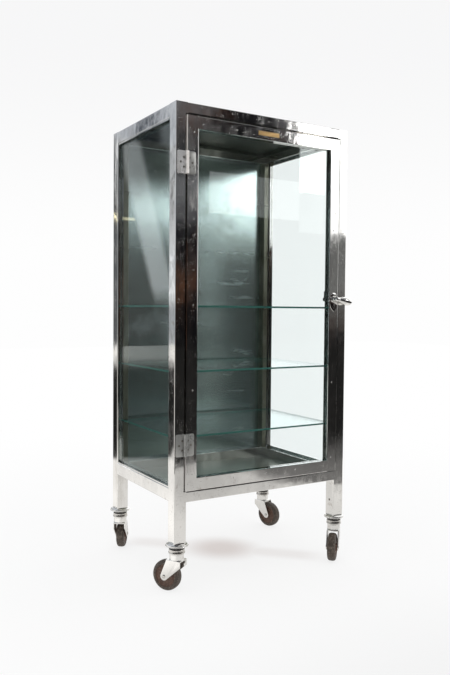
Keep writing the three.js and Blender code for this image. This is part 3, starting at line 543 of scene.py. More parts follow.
def loose(bm, soft=0.0, segments=3):
    """A mesh object that isn't placed on the model yet, with its edges softened by the width given."""
    bmesh.ops.remove_doubles(bm, verts=bm.verts, dist=0.001 * MM)
    bmesh.ops.recalc_face_normals(bm, faces=bm.faces)
    if soft:
        soften(bm, soft, segments)
    mesh = bpy.data.meshes.new("loose")
    bm.to_mesh(mesh)
    bm.free()
    obj = bpy.data.objects.new("loose", mesh)
    bpy.context.scene.collection.objects.link(obj)
    return obj


def carve(base, tools, operation="DIFFERENCE"):
    """Cuts the tools out of the base, or joins them to it, and throws the tools away."""
    for tool in tools:
        cutter = base.modifiers.new("carve", "BOOLEAN")
        cutter.operation = operation
        cutter.solver = "EXACT"
        cutter.object = tool
        graph = bpy.context.evaluated_depsgraph_get()
        mesh = bpy.data.meshes.new_from_object(base.evaluated_get(graph))
        base.modifiers.clear()
        base.data = mesh
        bpy.data.objects.remove(tool)
    return base


def weld(base, tools):
    return carve(base, tools, "UNION")


def settle(obj, name, body, finish, replaces=(), sharp=35):
    """Names a loose object, gives it its finish and smooth shading, and seats it on its body."""
    obj.name = name
    obj.data.name = name
    obj.data.materials.clear()
    obj.data.materials.append(finishes[finish])
    obj.data.polygons.foreach_set("use_smooth", [True] * len(obj.data.polygons))
    obj.data.set_sharp_from_angle(angle=math.radians(sharp))
    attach(obj, body)
    for node in replaces:
        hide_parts(node)
    return obj


def middle(node):
    low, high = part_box(node)
    return (low + high) / 2


# Carried-over nodes

NODE_FINISHES = {
    "back_tube": ("post_back_",),
    "door_tube": ("door_stile_hinge_side", "door_rail_bottom"),
    "tube": (
        "post_front_", "top_rail_", "bottom_rail_", "door_stile_lock", "door_rail_top", "door_glazing_bead",
        "side_channel_", "caster_cup_",
    ),
    "sheet": ("back_panel",),
    "roof_sheet": ("roof_panel",),
    "floor_sheet": ("floor_panel",),
    "pane": ("side_glass_",),
    "door_pane": ("door_glass",),
    "shelf": ("shelf_",),
    "brass": ("nameplate",),
    "steel": ("lock_case", "latch_spindle", "hinge_upper_pin", "hinge_lower_pin"),
    "hardware": ("latch_tongue", "lever_handle", "lock_plate"),
    "hinge": ("hinge_upper_frame_leaf",),
    "dull_hinge": ("hinge_upper_door_leaf", "hinge_lower_frame_leaf", "hinge_lower_door_leaf"),
    "race": ("caster_swivel_head_", "caster_fork_", "caster_axle_"),
    "wheel": ("caster_wheel_",),
}


def dress_nodes():
    for name, obj in frame["nodes"].items():
        for finish, starts in NODE_FINISHES.items():
            if name.startswith(starts):
                obj.data.materials.clear()
                obj.data.materials.append(finishes[finish])


dress_nodes()
dice = random.Random(7)


# Screws

def make_screw(name, place, outward, radius, dome, shank, body, finish, turn, sunk=0.0):
    """A slotted screw: a domed head, or a sunk one with a cone of the depth given, and its shank."""
    matrix = frame_of(place, outward) @ Matrix.Rotation(math.radians(turn), 4, "Z")
    bulge = [(radius * math.sin(math.radians(a)), dome * math.cos(math.radians(a))) for a in range(0, 91, 15)]
    core = radius * 0.55
    profile = [(0, -shank), (core, -shank), (core, -sunk)]
    head = turned([*profile, *reversed(bulge)], matrix, 24)
    slot = radius * 0.17
    depth = max(dome, 0.5 * MM) * 0.7
    carve(head, [prism(rectangle(radius * 1.2, slot), depth + dome, lifted(matrix, dome - depth))])
    settle(head, name, body, finish)


# Casters

WHEEL_RADIUS = 50 * MM
WHEEL_HALF = 15 * MM
TREAD_START = 36.5 * MM
HUB_HALF = 18 * MM
HUB_RADIUS = 13 * MM
AXLE_RADIUS = 4 * MM
AXLE_HEAD_RADIUS = 6.5 * MM
AXLE_HEAD_HEIGHT = 2.2 * MM
FORK_TRAIL = 36 * MM
FORK_PLATE = 3.5 * MM
FORK_END_RADIUS = 13 * MM
FORK_SHOULDER = 21 * MM
FORK_REACH = 28 * MM
FORK_INNER = HUB_HALF + 0.8 * MM
FORK_OUTER = FORK_INNER + FORK_PLATE
RACE_RADIUS = 25 * MM
RACE_HEIGHT = 21.3 * MM
RACE_EDGE = 1.2 * MM
UPPER_RACE_RADIUS = 26 * MM
UPPER_RACE_HEIGHT = 13.5 * MM
FLANGE_RADIUS = 27.5 * MM
FLANGE_HEIGHT = 3.2 * MM
RACE_GAP = 0.7 * MM
WASHER_RADIUS = 24.5 * MM
CUP_TOP_RADIUS = 33 * MM
CUP_RIM_RADIUS = 38 * MM
CUP_BASE_RADIUS = 26 * MM
CUP_RIM_DROP = 6.5 * MM
CUP_RIM_HEIGHT = 1.8 * MM
SPIGOT_HEIGHT = 70 * MM
SPIGOT_HALF = 19.7 * MM
KINGPIN_RADIUS = 5 * MM
KINGPIN_HEAD_RADIUS = 9 * MM
KINGPIN_HEAD_HEIGHT = 5 * MM
KINGPIN_REACH = 24 * MM
FIXING_HEIGHT = 57 * MM
FIXING_RADIUS = 4.1 * MM
FIXING_SEAT = 1.2 * MM
LEG_HALF = 22 * MM
EASE = 0.3 * MM


def touch_angle(outside, centre, radius, sign):
    """The angle on a circle where a line from a point outside it touches it."""
    x, y = outside[0] - centre[0], outside[1] - centre[1]
    return math.atan2(y, x) + sign * math.acos(radius / math.hypot(x, y))


def make_cup(corner, leg, leg_bottom, cup_under):
    """The saucer under a leg: a bowl that flares to a beaded rim, and a shoulder that closes on the tube."""
    rim_top = leg_bottom - CUP_RIM_DROP
    rim_middle = rim_top - CUP_RIM_HEIGHT / 2
    bead = CUP_RIM_HEIGHT / 2
    bowl = curve([
        (CUP_BASE_RADIUS, cup_under), (CUP_BASE_RADIUS + 2.2 * MM, cup_under + 2.2 * MM),
        (CUP_BASE_RADIUS + 6.5 * MM, cup_under + 4 * MM), (CUP_RIM_RADIUS - 1.6 * MM, rim_middle - bead),
    ])
    rim = arc(CUP_RIM_RADIUS - bead, rim_middle, bead, -80, 80, 8)
    shoulder = curve([
        (CUP_RIM_RADIUS - 2 * MM, rim_top + 0.2 * MM), (CUP_TOP_RADIUS + 2.4 * MM, leg_bottom - 2.6 * MM),
        (CUP_TOP_RADIUS, leg_bottom - 0.8 * MM), (CUP_TOP_RADIUS - 1.6 * MM, leg_bottom),
    ])
    bore = KINGPIN_RADIUS + EASE
    profile = [(bore, cup_under), *bowl, *rim, *shoulder, (bore, leg_bottom)]
    upright = Matrix.Translation((leg.x, leg.y, 0))
    cup = turned(profile, upright, 72)
    square = rounded_rectangle(-SPIGOT_HALF, SPIGOT_HALF, -SPIGOT_HALF, SPIGOT_HALF, 2.2 * MM)
    spigot = prism(square, SPIGOT_HEIGHT + 1 * MM, lifted(upright, leg_bottom - 1 * MM), 0.5 * MM, 2)
    hole = drill(bore, 0, KINGPIN_REACH + 2 * MM, lifted(upright, cup_under - 1 * MM))
    carve(weld(cup, [spigot]), [hole])
    settle(cup, f"caster_cup_{corner}_turned", "cabinet", "tube", [f"caster_cup_{corner}"])


def make_upper_race(corner, leg, race_under, race_top, cup_under, fork_under):
    """The fixed half of the ball race on its kingpin, whose round head shows under the fork."""
    flange_top = race_under + FLANGE_HEIGHT
    head_top = fork_under - EASE
    head = arc(0, head_top - KINGPIN_HEAD_HEIGHT / 2, KINGPIN_HEAD_RADIUS, -90, -14, 8)
    head = [(x, head_top - KINGPIN_HEAD_HEIGHT * (head_top - KINGPIN_HEAD_HEIGHT / 2 - y) / KINGPIN_HEAD_RADIUS)
            for x, y in head]
    profile = [
        *head, (KINGPIN_HEAD_RADIUS, head_top), (KINGPIN_RADIUS, head_top), (KINGPIN_RADIUS, race_under),
        *arc(FLANGE_RADIUS - 0.6 * MM, race_under + 0.6 * MM, 0.6 * MM, -90, 0, 4),
        *arc(FLANGE_RADIUS - 0.9 * MM, flange_top - 0.9 * MM, 0.9 * MM, 0, 90, 5),
        (UPPER_RACE_RADIUS + 0.2 * MM, flange_top), (UPPER_RACE_RADIUS, flange_top + 0.4 * MM),
        *arc(UPPER_RACE_RADIUS - 1.6 * MM, race_top - 1.6 * MM, 1.6 * MM, 0, 90, 6),
        (KINGPIN_RADIUS, race_top), (KINGPIN_RADIUS, cup_under + KINGPIN_REACH - 0.5 * MM),
        (KINGPIN_RADIUS - 0.5 * MM, cup_under + KINGPIN_REACH), (0, cup_under + KINGPIN_REACH),
    ]
    upright = Matrix.Translation((leg.x, leg.y, 0))
    race = turned(profile, upright, 72)
    node = f"caster_swivel_head_{corner}"
    settle(race, f"caster_upper_race_{corner}", "cabinet", "race", [node])
    ring = [
        (KINGPIN_RADIUS + EASE, race_top), *arc(WASHER_RADIUS - 0.8 * MM, race_top + 0.8 * MM, 0.8 * MM, -90, 0, 4),
        *arc(WASHER_RADIUS - 0.8 * MM, cup_under - 0.8 * MM, 0.8 * MM, 0, 90, 4), (KINGPIN_RADIUS + EASE, cup_under),
    ]
    washer = turned(ring, upright, 72)
    settle(washer, f"caster_washer_{corner}", "cabinet", "washer", [node])


def make_fork(corner, leg, forward, fork_top, race_top):
    """Two cheeks that narrow to the axle, a bridge between them, and the turning half of the race on top."""
    fork_under = fork_top - FORK_PLATE
    axle = (FORK_TRAIL, WHEEL_RADIUS)
    rear = (-RACE_RADIUS, fork_top - FORK_SHOULDER)
    ahead = (FORK_REACH, fork_under)
    start = math.degrees(touch_angle(rear, axle, FORK_END_RADIUS, 1))
    end = math.degrees(touch_angle(ahead, axle, FORK_END_RADIUS, -1)) + 360
    cheek = [
        (-RACE_RADIUS, fork_top), rear, *arc(*axle, FORK_END_RADIUS, start, end, 24), ahead, (FORK_REACH, fork_top),
    ]
    ground = (leg.x, leg.y, 0)
    base = on_axes(ground, forward, UP, forward.cross(UP))
    upright = on_axes(ground, forward, UP.cross(forward), UP)

    def side(offset):
        return prism(cheek, FORK_PLATE, lifted(base, offset), 0.9 * MM)

    bridge_shape = rounded_rectangle(-RACE_RADIUS, FORK_REACH, -FORK_OUTER, FORK_OUTER, 3.2 * MM, 6)
    bridge = prism(bridge_shape, FORK_PLATE, lifted(upright, fork_under), 0.7 * MM)
    waist = RACE_RADIUS - RACE_EDGE
    bore = KINGPIN_RADIUS + EASE
    profile = [
        (bore, fork_top - 1 * MM), (RACE_RADIUS - 0.4 * MM, fork_top - 1 * MM),
        (RACE_RADIUS - 0.4 * MM, fork_top + 0.5 * MM), (waist, fork_top + 1.6 * MM), (waist, race_top - 4.2 * MM),
        *arc(RACE_RADIUS - 0.7 * MM, race_top - 2.7 * MM, 0.7 * MM, -60, 0, 4),
        *arc(RACE_RADIUS - 0.7 * MM, race_top - 0.7 * MM, 0.7 * MM, 0, 90, 4), (bore, race_top),
    ]
    race = turned(profile, upright, 72)
    fork = weld(bridge, [side(FORK_INNER), side(-FORK_OUTER), race])
    pin_hole = drill(bore, 0, 2 * FORK_PLATE, lifted(upright, fork_under - FORK_PLATE / 2))
    across = base @ Matrix.Translation((*axle, -FORK_OUTER - 1 * MM))
    axle_hole = drill(AXLE_RADIUS, 0, 2 * FORK_OUTER + 2 * MM, across)
    carve(fork, [pin_hole, axle_hole])
    body = f"swivel_{corner}"
    settle(fork, f"caster_fork_{corner}_pressed", body, "hardware", [f"caster_fork_{corner}"])


def make_wheel(corner, axle, forward):
    """A solid wheel: a round-shouldered tread, a groove, a dished web and a hub."""
    sideways = UP.cross(forward)
    matrix = frame_of(axle, sideways)
    outward = [
        (HUB_RADIUS - 1.2 * MM, HUB_HALF), *arc(HUB_RADIUS - 1.2 * MM, HUB_HALF - 1.2 * MM, 1.2 * MM, 80, 0, 5),
        *curve([
            (HUB_RADIUS + 0.4 * MM, 13.5 * MM), (HUB_RADIUS + 2.4 * MM, 11.2 * MM), (22 * MM, 10.6 * MM),
            (30 * MM, 11 * MM), (33 * MM, 13 * MM), (34.2 * MM, 13.9 * MM),
        ]),
        (34.9 * MM, 13.2 * MM), (35.6 * MM, 13.2 * MM), (36.2 * MM, 14.2 * MM),
        *curve([
            (37.4 * MM, 14.8 * MM), (40 * MM, WHEEL_HALF), (43 * MM, 14.6 * MM), (46.6 * MM, 12.6 * MM),
            (48.9 * MM, 9.4 * MM), (49.7 * MM, 5.6 * MM), (WHEEL_RADIUS, 0),
        ]),
    ]
    bore = AXLE_RADIUS + EASE
    profile = [(bore, HUB_HALF), *outward, *[(r, -x) for r, x in reversed(outward[:-1])], (bore, -HUB_HALF)]
    wheel = turned(profile, matrix, 96)
    settle(wheel, f"caster_wheel_{corner}_moulded", f"wheel_{corner}", "wheel",
           [f"caster_wheel_{corner}"], sharp=50)
    wheel.data.materials.append(finishes["tread"])
    for face in wheel.data.polygons:
        arm = face.center - axle
        arm -= sideways * arm.dot(sideways)
        if arm.length > TREAD_START:
            face.material_index = 1


def make_axle(corner, axle, forward):
    """A riveted axle with domed heads."""
    inner = FORK_OUTER + 0.1 * MM
    dome = [(AXLE_HEAD_RADIUS * math.sin(a), inner + AXLE_HEAD_HEIGHT * math.cos(a))
            for a in [math.radians(10 * i) for i in range(10)]]
    profile = [*dome, (AXLE_RADIUS - 0.1 * MM, inner)]
    profile += [(r, -x) for r, x in reversed(profile)]
    pin = turned(profile, frame_of(axle, UP.cross(forward)), 40)
    settle(pin, f"caster_axle_{corner}_riveted", f"swivel_{corner}", "race", [f"caster_axle_{corner}"])


def make_caster(corner):
    leg = middle(f"caster_cup_{corner}")
    axle = middle(f"caster_axle_{corner}")
    forward = Vector((axle.x - leg.x, axle.y - leg.y, 0)).normalized()
    leg_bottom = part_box(f"post_{corner}")[0].z
    cup_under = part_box(f"caster_cup_{corner}")[0].z
    lower_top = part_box(f"caster_fork_{corner}")[1].z
    fork_top = lower_top - RACE_HEIGHT
    race_under = lower_top + RACE_GAP
    race_top = race_under + UPPER_RACE_HEIGHT
    make_cup(corner, leg, leg_bottom, cup_under)
    make_upper_race(corner, leg, race_under, race_top, cup_under, fork_top - FORK_PLATE)
    make_fork(corner, leg, forward, fork_top, lower_top)
    make_wheel(corner, axle, forward)
    make_axle(corner, axle, forward)
    make_fixing_screw(corner, leg, leg_bottom)


def make_fixing_screw(corner, leg, leg_bottom):
    """The sunk screw that holds a caster's spigot in its leg."""
    inwards = RIGHT if "left" in corner else LEFT
    place = Vector((leg.x, leg.y, leg_bottom + FIXING_HEIGHT)) + inwards * (LEG_HALF - FIXING_SEAT)
    make_screw(
        f"fixing_screw_{corner}", place, inwards, FIXING_RADIUS, dome=0.6 * MM, shank=5 * MM,
        body="cabinet", finish="steel", turn=20)


for corner in CORNERS:
    make_caster(corner)


# Door

DOOR_SCREW_COUNT = 5
DOOR_SCREW_INSET = 24.5 * MM
RAIL_SCREW_START = 57.5 * MM
STILE_SCREW_START = 52.5 * MM
DOOR_SCREW_RADIUS = 2.7 * MM
DOOR_SCREW_DOME = 0.9 * MM
DOOR_SCREW_SHANK = 1.4 * MM
WELD_HALF = 2 * MM
WELD_PROUD = 0.02 * MM


def evenly(low, high, count):
    return [low + (high - low) * i / (count - 1) for i in range(count)]


def make_door_screws():
    """Small domed screws round the face of the door. The lock and the bare plate take two of the places."""
    low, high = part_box("door_stile_hinge_side")[0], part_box("door_stile_lock_side")[1]
    middle_place = (DOOR_SCREW_COUNT - 1) // 2
    heights = evenly(low.z + STILE_SCREW_START, high.z - STILE_SCREW_START, DOOR_SCREW_COUNT)
    places = evenly(low.x + RAIL_SCREW_START, high.x - RAIL_SCREW_START, DOOR_SCREW_COUNT)
    points = {
        "hinge_stile": [(low.x + DOOR_SCREW_INSET, z) for z in heights],
        "lock_stile": [(high.x - DOOR_SCREW_INSET, z) for i, z in enumerate(heights) if i != middle_place],
        "top_rail": [(x, high.z - DOOR_SCREW_INSET) for i, x in enumerate(places) if i != middle_place],
        "bottom_rail": [(x, low.z + DOOR_SCREW_INSET) for x in places],
    }
    for member, spots in points.items():
        for i, (x, z) in enumerate(spots, 1):
            make_screw(
                f"door_screw_{member}_{i}", Vector((x, low.y, z)), FRONT, DOOR_SCREW_RADIUS, DOOR_SCREW_DOME,
                DOOR_SCREW_SHANK, "door", "hardware", dice.uniform(0, 180))


def make_corner_welds():
    """Fills the grooves where the rounded stiles and rails of the door meet, flush with their faces."""
    for side, stile, inner in (("hinge", "door_stile_hinge_side", 1), ("lock", "door_stile_lock_side", 0)):
        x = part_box(stile)[inner].x
        for level in ("top", "bottom"):
            low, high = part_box(f"door_rail_{level}")
            groove = [(-WELD_HALF, WELD_PROUD), (WELD_HALF, WELD_PROUD), (0, -WELD_HALF)]
            foot = on_axes((x, low.y, low.z + WELD_HALF), RIGHT, FRONT, UP)
            bead = prism(groove, high.z - low.z - 2 * WELD_HALF, foot)
            settle(bead, f"door_weld_{level}_{side}", "door", "tube")


# Hinges

HINGE_HEIGHT = 72 * MM
LEAF_WIDTH = 33 * MM
LEAF_THICKNESS = 2.2 * MM
LEAF_CORNER = 5 * MM
KNUCKLES = 5
KNUCKLE_RADIUS = 6.3 * MM
KNUCKLE_GAP = 0.4 * MM
PIN_RADIUS = 3 * MM
HINGE_SCREWS = [(10 * MM, -15 * MM), (10 * MM, 15 * MM), (21 * MM, 0.0)]
HINGE_SCREW_RADIUS = 3.7 * MM
HINGE_SCREW_SINK = 1.6 * MM
HINGE_SCREW_SHANK = 2.1 * MM


def make_hinge_leaf(which, side, name, body, pin, front, finish):
    """A cast leaf and its knuckles, with its three screws. The side is -1 on the post and 1 on the door."""
    leaf_face = front - LEAF_THICKNESS
    outwards = LEFT if side < 0 else RIGHT
    flat = on_axes((pin.x, front, pin.z), outwards, UP, outwards.cross(UP))
    depth = LEAF_THICKNESS if outwards.cross(UP).y < 0 else -LEAF_THICKNESS
    half = HINGE_HEIGHT / 2
    shape = [
        (0, -half), *arc(LEAF_WIDTH - LEAF_CORNER, -half + LEAF_CORNER, LEAF_CORNER, -90, 0, 8),
        *arc(LEAF_WIDTH - LEAF_CORNER, half - LEAF_CORNER, LEAF_CORNER, 0, 90, 8), (0, half),
    ]
    leaf = prism(shape, depth, flat, 0.35 * MM, 2)
    upright = Matrix.Translation((pin.x, pin.y, 0))
    pitch = HINGE_HEIGHT / KNUCKLES
    barrels, notches = [], []
    for i in range(KNUCKLES):
        low = pin.z - half + i * pitch
        own = (i % 2 == 0) == (side < 0)
        spare = KNUCKLE_GAP / 2 if own else 0
        radius = KNUCKLE_RADIUS if own else KNUCKLE_RADIUS + KNUCKLE_GAP
        ends = (low + spare, low + pitch - spare)
        ease = 0.5 * MM if own else 0
        profile = [
            (PIN_RADIUS + EASE, ends[0]), (radius - ease, ends[0]), (radius, ends[0] + ease),
            (radius, ends[1] - ease), (radius - ease, ends[1]), (PIN_RADIUS + EASE, ends[1]),
        ]
        if own:
            barrels.append(turned(profile, upright, 40))
        else:
            notches.append(drill(radius, *ends, upright, 40))
    holes = [drill(PIN_RADIUS + EASE, pin.z - half, pin.z + half, upright)]
    spots = [Vector((pin.x, leaf_face, pin.z)) + outwards * along + UP * up for along, up in HINGE_SCREWS]
    for spot in spots:
        cone = [
            (0, -1 * MM), (HINGE_SCREW_RADIUS + 0.1 * MM, -1 * MM), (HINGE_SCREW_RADIUS + 0.1 * MM, 0),
            (HINGE_SCREW_SHANK, HINGE_SCREW_SINK), (HINGE_SCREW_SHANK, 2 * LEAF_THICKNESS), (0, 2 * LEAF_THICKNESS),
        ]
        holes.append(turned(cone, frame_of(spot, BACK), 32))
    carve(weld(carve(leaf, notches), barrels), holes)
    node = f"hinge_{which}_{name}_leaf"
    settle(leaf, f"{node}_cast", body, finish, [node])
    for i, spot in enumerate(spots, 1):
        make_screw(
            f"hinge_{which}_{name}_screw_{i}", spot + BACK * 0.15 * MM, FRONT, HINGE_SCREW_RADIUS, 0.25 * MM,
            LEAF_THICKNESS, body, "steel", dice.uniform(0, 180), sunk=HINGE_SCREW_SINK)


def make_hinge(which):
    pin = middle(f"hinge_{which}_pin")
    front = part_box("post_front_left")[0].y
    make_hinge_leaf(which, -1, "frame", "cabinet", pin, front, "hinge" if which == "upper" else "dull_hinge")
    make_hinge_leaf(which, 1, "door", "door", pin, front, "dull_hinge")
    half = HINGE_HEIGHT / 2
    ease = 0.6 * MM
    profile = [
        (0, -half), (PIN_RADIUS - ease, -half), (PIN_RADIUS, -half + ease), (PIN_RADIUS, half - ease),
        (PIN_RADIUS - ease, half), (0, half),
    ]
    rod = turned(profile, Matrix.Translation(pin), 32)
    settle(rod, f"hinge_{which}_pin_turned", "cabinet", "steel", [f"hinge_{which}_pin"])


# Latch

LEVER_LENGTH = 69 * MM
LEVER_RADIUS = 15 * MM
LEVER_HUB = 8.5 * MM
LEVER_DROOP = 9
LEVER_SHARES = [
    (0, 0.48), (0.08, 0.48), (0.16, 0.53), (0.3, 0.74), (0.44, 0.92), (0.58, 0.99),
    (0.72, 0.97), (0.84, 0.82), (0.93, 0.56), (0.98, 0.28), (1, 0),
]
COLLAR_RADIUS = 12 * MM
COLLAR_HEIGHT = 4 * MM
PLATE_HALF = 15.5 * MM
PLATE_RISE = 8 * MM
PLATE_DROP = 45 * MM
PLATE_SHOULDER = 20 * MM
PLATE_THICKNESS = 1.6 * MM
SPINDLE_HOLE = 5.6 * MM
SPINDLE_HALF = 3.8 * MM
KEYHOLE_DROP = 25 * MM
KEYHOLE_RADIUS = 3.2 * MM
KEY_SLOT_HALF = 1.3 * MM
KEY_SLOT_LENGTH = 8 * MM


def quadratic(start, control, end, steps=10):
    points = []
    for i in range(1, steps + 1):
        t = i / steps
        points.append(tuple((1 - t) ** 2 * a + 2 * t * (1 - t) * b + t * t * c for a, b, c in zip(start, control, end)))
    return points


def make_lever(latch, hub_end):
    """An egg-shaped grip that droops to the right, on a round hub over the square spindle."""
    grip_line = Vector((math.cos(math.radians(LEVER_DROOP)), 0, -math.sin(math.radians(LEVER_DROOP))))
    points = curve([(along * LEVER_LENGTH, out * LEVER_RADIUS) for along, out in LEVER_SHARES])
    profile = [(0, 0), *[(max(out, 0), along) for along, out in points]]
    grip = turned(profile, frame_of(latch, grip_line), 64)
    length = hub_end - latch.y
    hub_profile = [
        (0, -LEVER_HUB), *curve([
            (LEVER_HUB * 0.5, -LEVER_HUB * 0.93), (LEVER_HUB * 0.85, -LEVER_HUB * 0.62), (LEVER_HUB, -LEVER_HUB * 0.2),
            (LEVER_HUB * 0.97, length * 0.45), (LEVER_HUB * 0.92, length * 0.6), (LEVER_HUB, length * 0.76),
        ]),
        (LEVER_HUB, length - 0.6 * MM), (LEVER_HUB - 0.6 * MM, length), (0, length),
    ]
    hub = turned(hub_profile, frame_of(latch, BACK), 64)
    socket = prism(rectangle(SPINDLE_HALF, SPINDLE_HALF), length + 1 * MM, frame_of(latch, BACK))
    carve(weld(grip, [hub]), [socket])
    settle(grip, "lever_handle_polished", "handle", "hardware", ["lever_handle"], sharp=60)


def make_lock_plate(latch, front):
    """A plate, round at the top and pointed at the bottom, with a raised collar and a keyhole."""
    low = -KEYHOLE_DROP - KEY_SLOT_LENGTH
    shape = [
        *arc(0, PLATE_RISE, PLATE_HALF, 0, 180, 24), (-PLATE_HALF, -PLATE_SHOULDER),
        *quadratic((-PLATE_HALF, -PLATE_SHOULDER), (-PLATE_HALF, low), (0, -PLATE_DROP)),
        *quadratic((0, -PLATE_DROP), (PLATE_HALF, low), (PLATE_HALF, -PLATE_SHOULDER)),
    ]
    flat = on_axes((latch.x, front, latch.z), RIGHT, UP, FRONT)
    plate = prism(shape, PLATE_THICKNESS, flat, 0.6 * MM, 3)
    outer = PLATE_THICKNESS + COLLAR_HEIGHT
    profile = [
        (SPINDLE_HOLE, PLATE_THICKNESS / 2), (COLLAR_RADIUS, PLATE_THICKNESS / 2), (COLLAR_RADIUS, outer - 2.2 * MM),
        *arc(COLLAR_RADIUS - 1.4 * MM, outer - 1.4 * MM, 1.4 * MM, 0, 90, 6),
        (COLLAR_RADIUS - 2.4 * MM, outer - 0.5 * MM), (SPINDLE_HOLE + 0.8 * MM, outer - 0.5 * MM),
        (SPINDLE_HOLE, outer - 1 * MM),
    ]
    collar = turned(profile, flat, 64)
    spindle_hole = drill(SPINDLE_HOLE, -1 * MM, outer + 1 * MM, flat, 40)
    keyhole = drill(KEYHOLE_RADIUS, -1 * MM, outer, flat @ Matrix.Translation((0, -KEYHOLE_DROP, 0)))
    slot_shape = [
        (-KEY_SLOT_HALF, low), (KEY_SLOT_HALF, low), (KEY_SLOT_HALF, -KEYHOLE_DROP), (-KEY_SLOT_HALF, -KEYHOLE_DROP),
    ]
    slot = prism(slot_shape, outer + 1 * MM, lifted(flat, -1 * MM))
    carve(weld(plate, [collar]), [spindle_hole, keyhole, slot])
    settle(plate, "lock_plate_raised", "door", "hardware", ["lock_plate"])


# Brass plate

PLATE_RIM = 1.3 * MM
PLATE_POCKET = 0.3 * MM


def make_nameplate():
    """The bare brass plate, with a raised rim, on two domed pins."""
    low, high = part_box("nameplate")
    place = Vector(((low.x + high.x) / 2, high.y, (low.z + high.z) / 2))
    half_x, half_z = (high.x - low.x) / 2, (high.z - low.z) / 2
    thickness = high.y - low.y
    flat = on_axes(place, RIGHT, UP, FRONT)
    shape = rounded_rectangle(-half_x, half_x, -half_z, half_z, 1.2 * MM)
    plate = prism(shape, thickness, flat, 0.25 * MM, 2)
    inner_x, inner_z = half_x - PLATE_RIM, half_z - PLATE_RIM
    inner = rounded_rectangle(-inner_x, inner_x, -inner_z, inner_z, 0.6 * MM)
    pocket = prism(inner, thickness, lifted(flat, thickness - PLATE_POCKET))
    carve(plate, [pocket])
    settle(plate, "nameplate_bare", "door", "brass", ["nameplate"])
    for name, side in (("left", -1), ("right", 1)):
        spot = place + RIGHT * side * (half_x - 4 * MM) + FRONT * (thickness - PLATE_POCKET)
        make_screw(
            f"nameplate_pin_{name}", spot, FRONT, radius=1.5 * MM, dome=0.28 * MM, shank=1.2 * MM,
            body="door", finish="brass", turn=0)


make_door_screws()
make_corner_welds()
for which in ("upper", "lower"):
    make_hinge(which)
lever_pivot = Vector(joints["handle_turn"]["pos_m"])
make_lever(lever_pivot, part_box("lock_plate")[0].y - EASE)
make_lock_plate(lever_pivot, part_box("lock_plate")[1].y)
make_nameplate()


# Camera and light

VIEW_PLACE = Vector((-1.36, -2.2587, 0.917))
VIEW_YAW = 31.08
VIEW_PITCH = 2.214
VIEW_ROLL = 0.475
VIEW_LENS = 37.63
FLOOR_HALF = 14.0
WINDOW_PLANE = -2.25
WINDOW_LAMPS = [
    ("right softbox", (1.66, 1.89), (1.75, 2.4), 9.5),
    ("far right softbox", (1.89, 2.9), (1.75, 2.4), 1.15),
    ("low right softbox", (1.66, 2.9), (1.47, 1.75), 1.5),
    ("front softbox", (0.93, 1.66), (1.55, 1.82), 2.6),
]


def make_camera():
    yaw, pitch, roll = [math.radians(a) for a in (VIEW_YAW, VIEW_PITCH, VIEW_ROLL)]
    ahead = Vector((math.sin(yaw) * math.cos(pitch), math.cos(yaw) * math.cos(pitch), -math.sin(pitch)))
    level = Vector((math.cos(yaw), -math.sin(yaw), 0))
    upwards = level.cross(ahead)
    side = level * math.cos(roll) + upwards * math.sin(roll)
    top = upwards * math.cos(roll) - level * math.sin(roll)
    data = bpy.data.cameras.new("photo view")
    data.lens = VIEW_LENS
    camera = bpy.data.objects.new("photo view", data)
    camera.matrix_world = on_axes(VIEW_PLACE, side, top, -ahead)
    bpy.context.scene.collection.objects.link(camera)
    bpy.context.scene.camera = camera


def softbox(name, place, facing, width, height, glow, shows=True, lights=True):
    """A rectangular lamp, and whether metal shows it and dull surfaces are lit by it. A glow of 1 is white."""
    data = bpy.data.lights.new(name, "AREA")
    data.shape = "RECTANGLE"
    data.size = width
    data.size_y = height
    data.energy = glow * math.pi * width * height
    lamp = bpy.data.objects.new(name, data)
    lamp.matrix_world = frame_of(Vector(place), -Vector(facing))
    lamp.visible_glossy = shows
    lamp.visible_diffuse = lights
    lamp.visible_camera = False
    bpy.context.scene.collection.objects.link(lamp)


WHITE = (1, 1, 1)
BLACK = (0, 0, 0)
# The colour of the painted shadow on the floor:
SHADE_TONE = (0.73, 0.67, 0.65)
PAPER_TONE = (0.9, 0.9, 0.9, 1)
BRIGHTEST_WARM = 1.5
BRIGHTEST_GLOOM = 0.2


def studio_floor(f):
    """White paper with a painted soft shadow under the cabinet, and painted shade that darkens it a little towards the
    front. The camera sees it mostly as plain white.
    """
    x, y, _ = f.axes()
    reach = (x * x + y * y) ** 0.5
    # Painted shadow: a soft spot and a band under the front of the cabinet, tinted into the white glow.
    across, along = x * 0.69 + y * 0.72 - 0.05, x * 0.72 - y * 0.69 + 0.02
    spot = f.rise((across * across / 0.13 ** 2 + along * along / 0.15 ** 2) ** 0.5, 1.3, 0.2)
    painted_shadow_band = f.within(across, -0.045, 0.045, 0.035) * f.rise(abs(along), 0.42, 0.3) * 0.4
    shade = f.blend(WHITE, SHADE_TONE, spot.larger(painted_shadow_band))
    # Painted shade: the white glow darkens by up to a tenth towards the front.
    white = f.glow(f.blend(shade, BLACK, f.rise(-y, 0.5, 1.3) * 0.1))
    paper = f.surface(Base_Color=PAPER_TONE, Roughness=0.9)
    lit = f.mixed(paper, white, 0.8 + f.rise(reach, 0.5, 3) * 0.2)
    floor = f.mixed(paper, lit, f.seen_by("Camera"))
    return f.mixed(floor, reflected_floor(f, x, y, reach), f.seen_by("Glossy"))


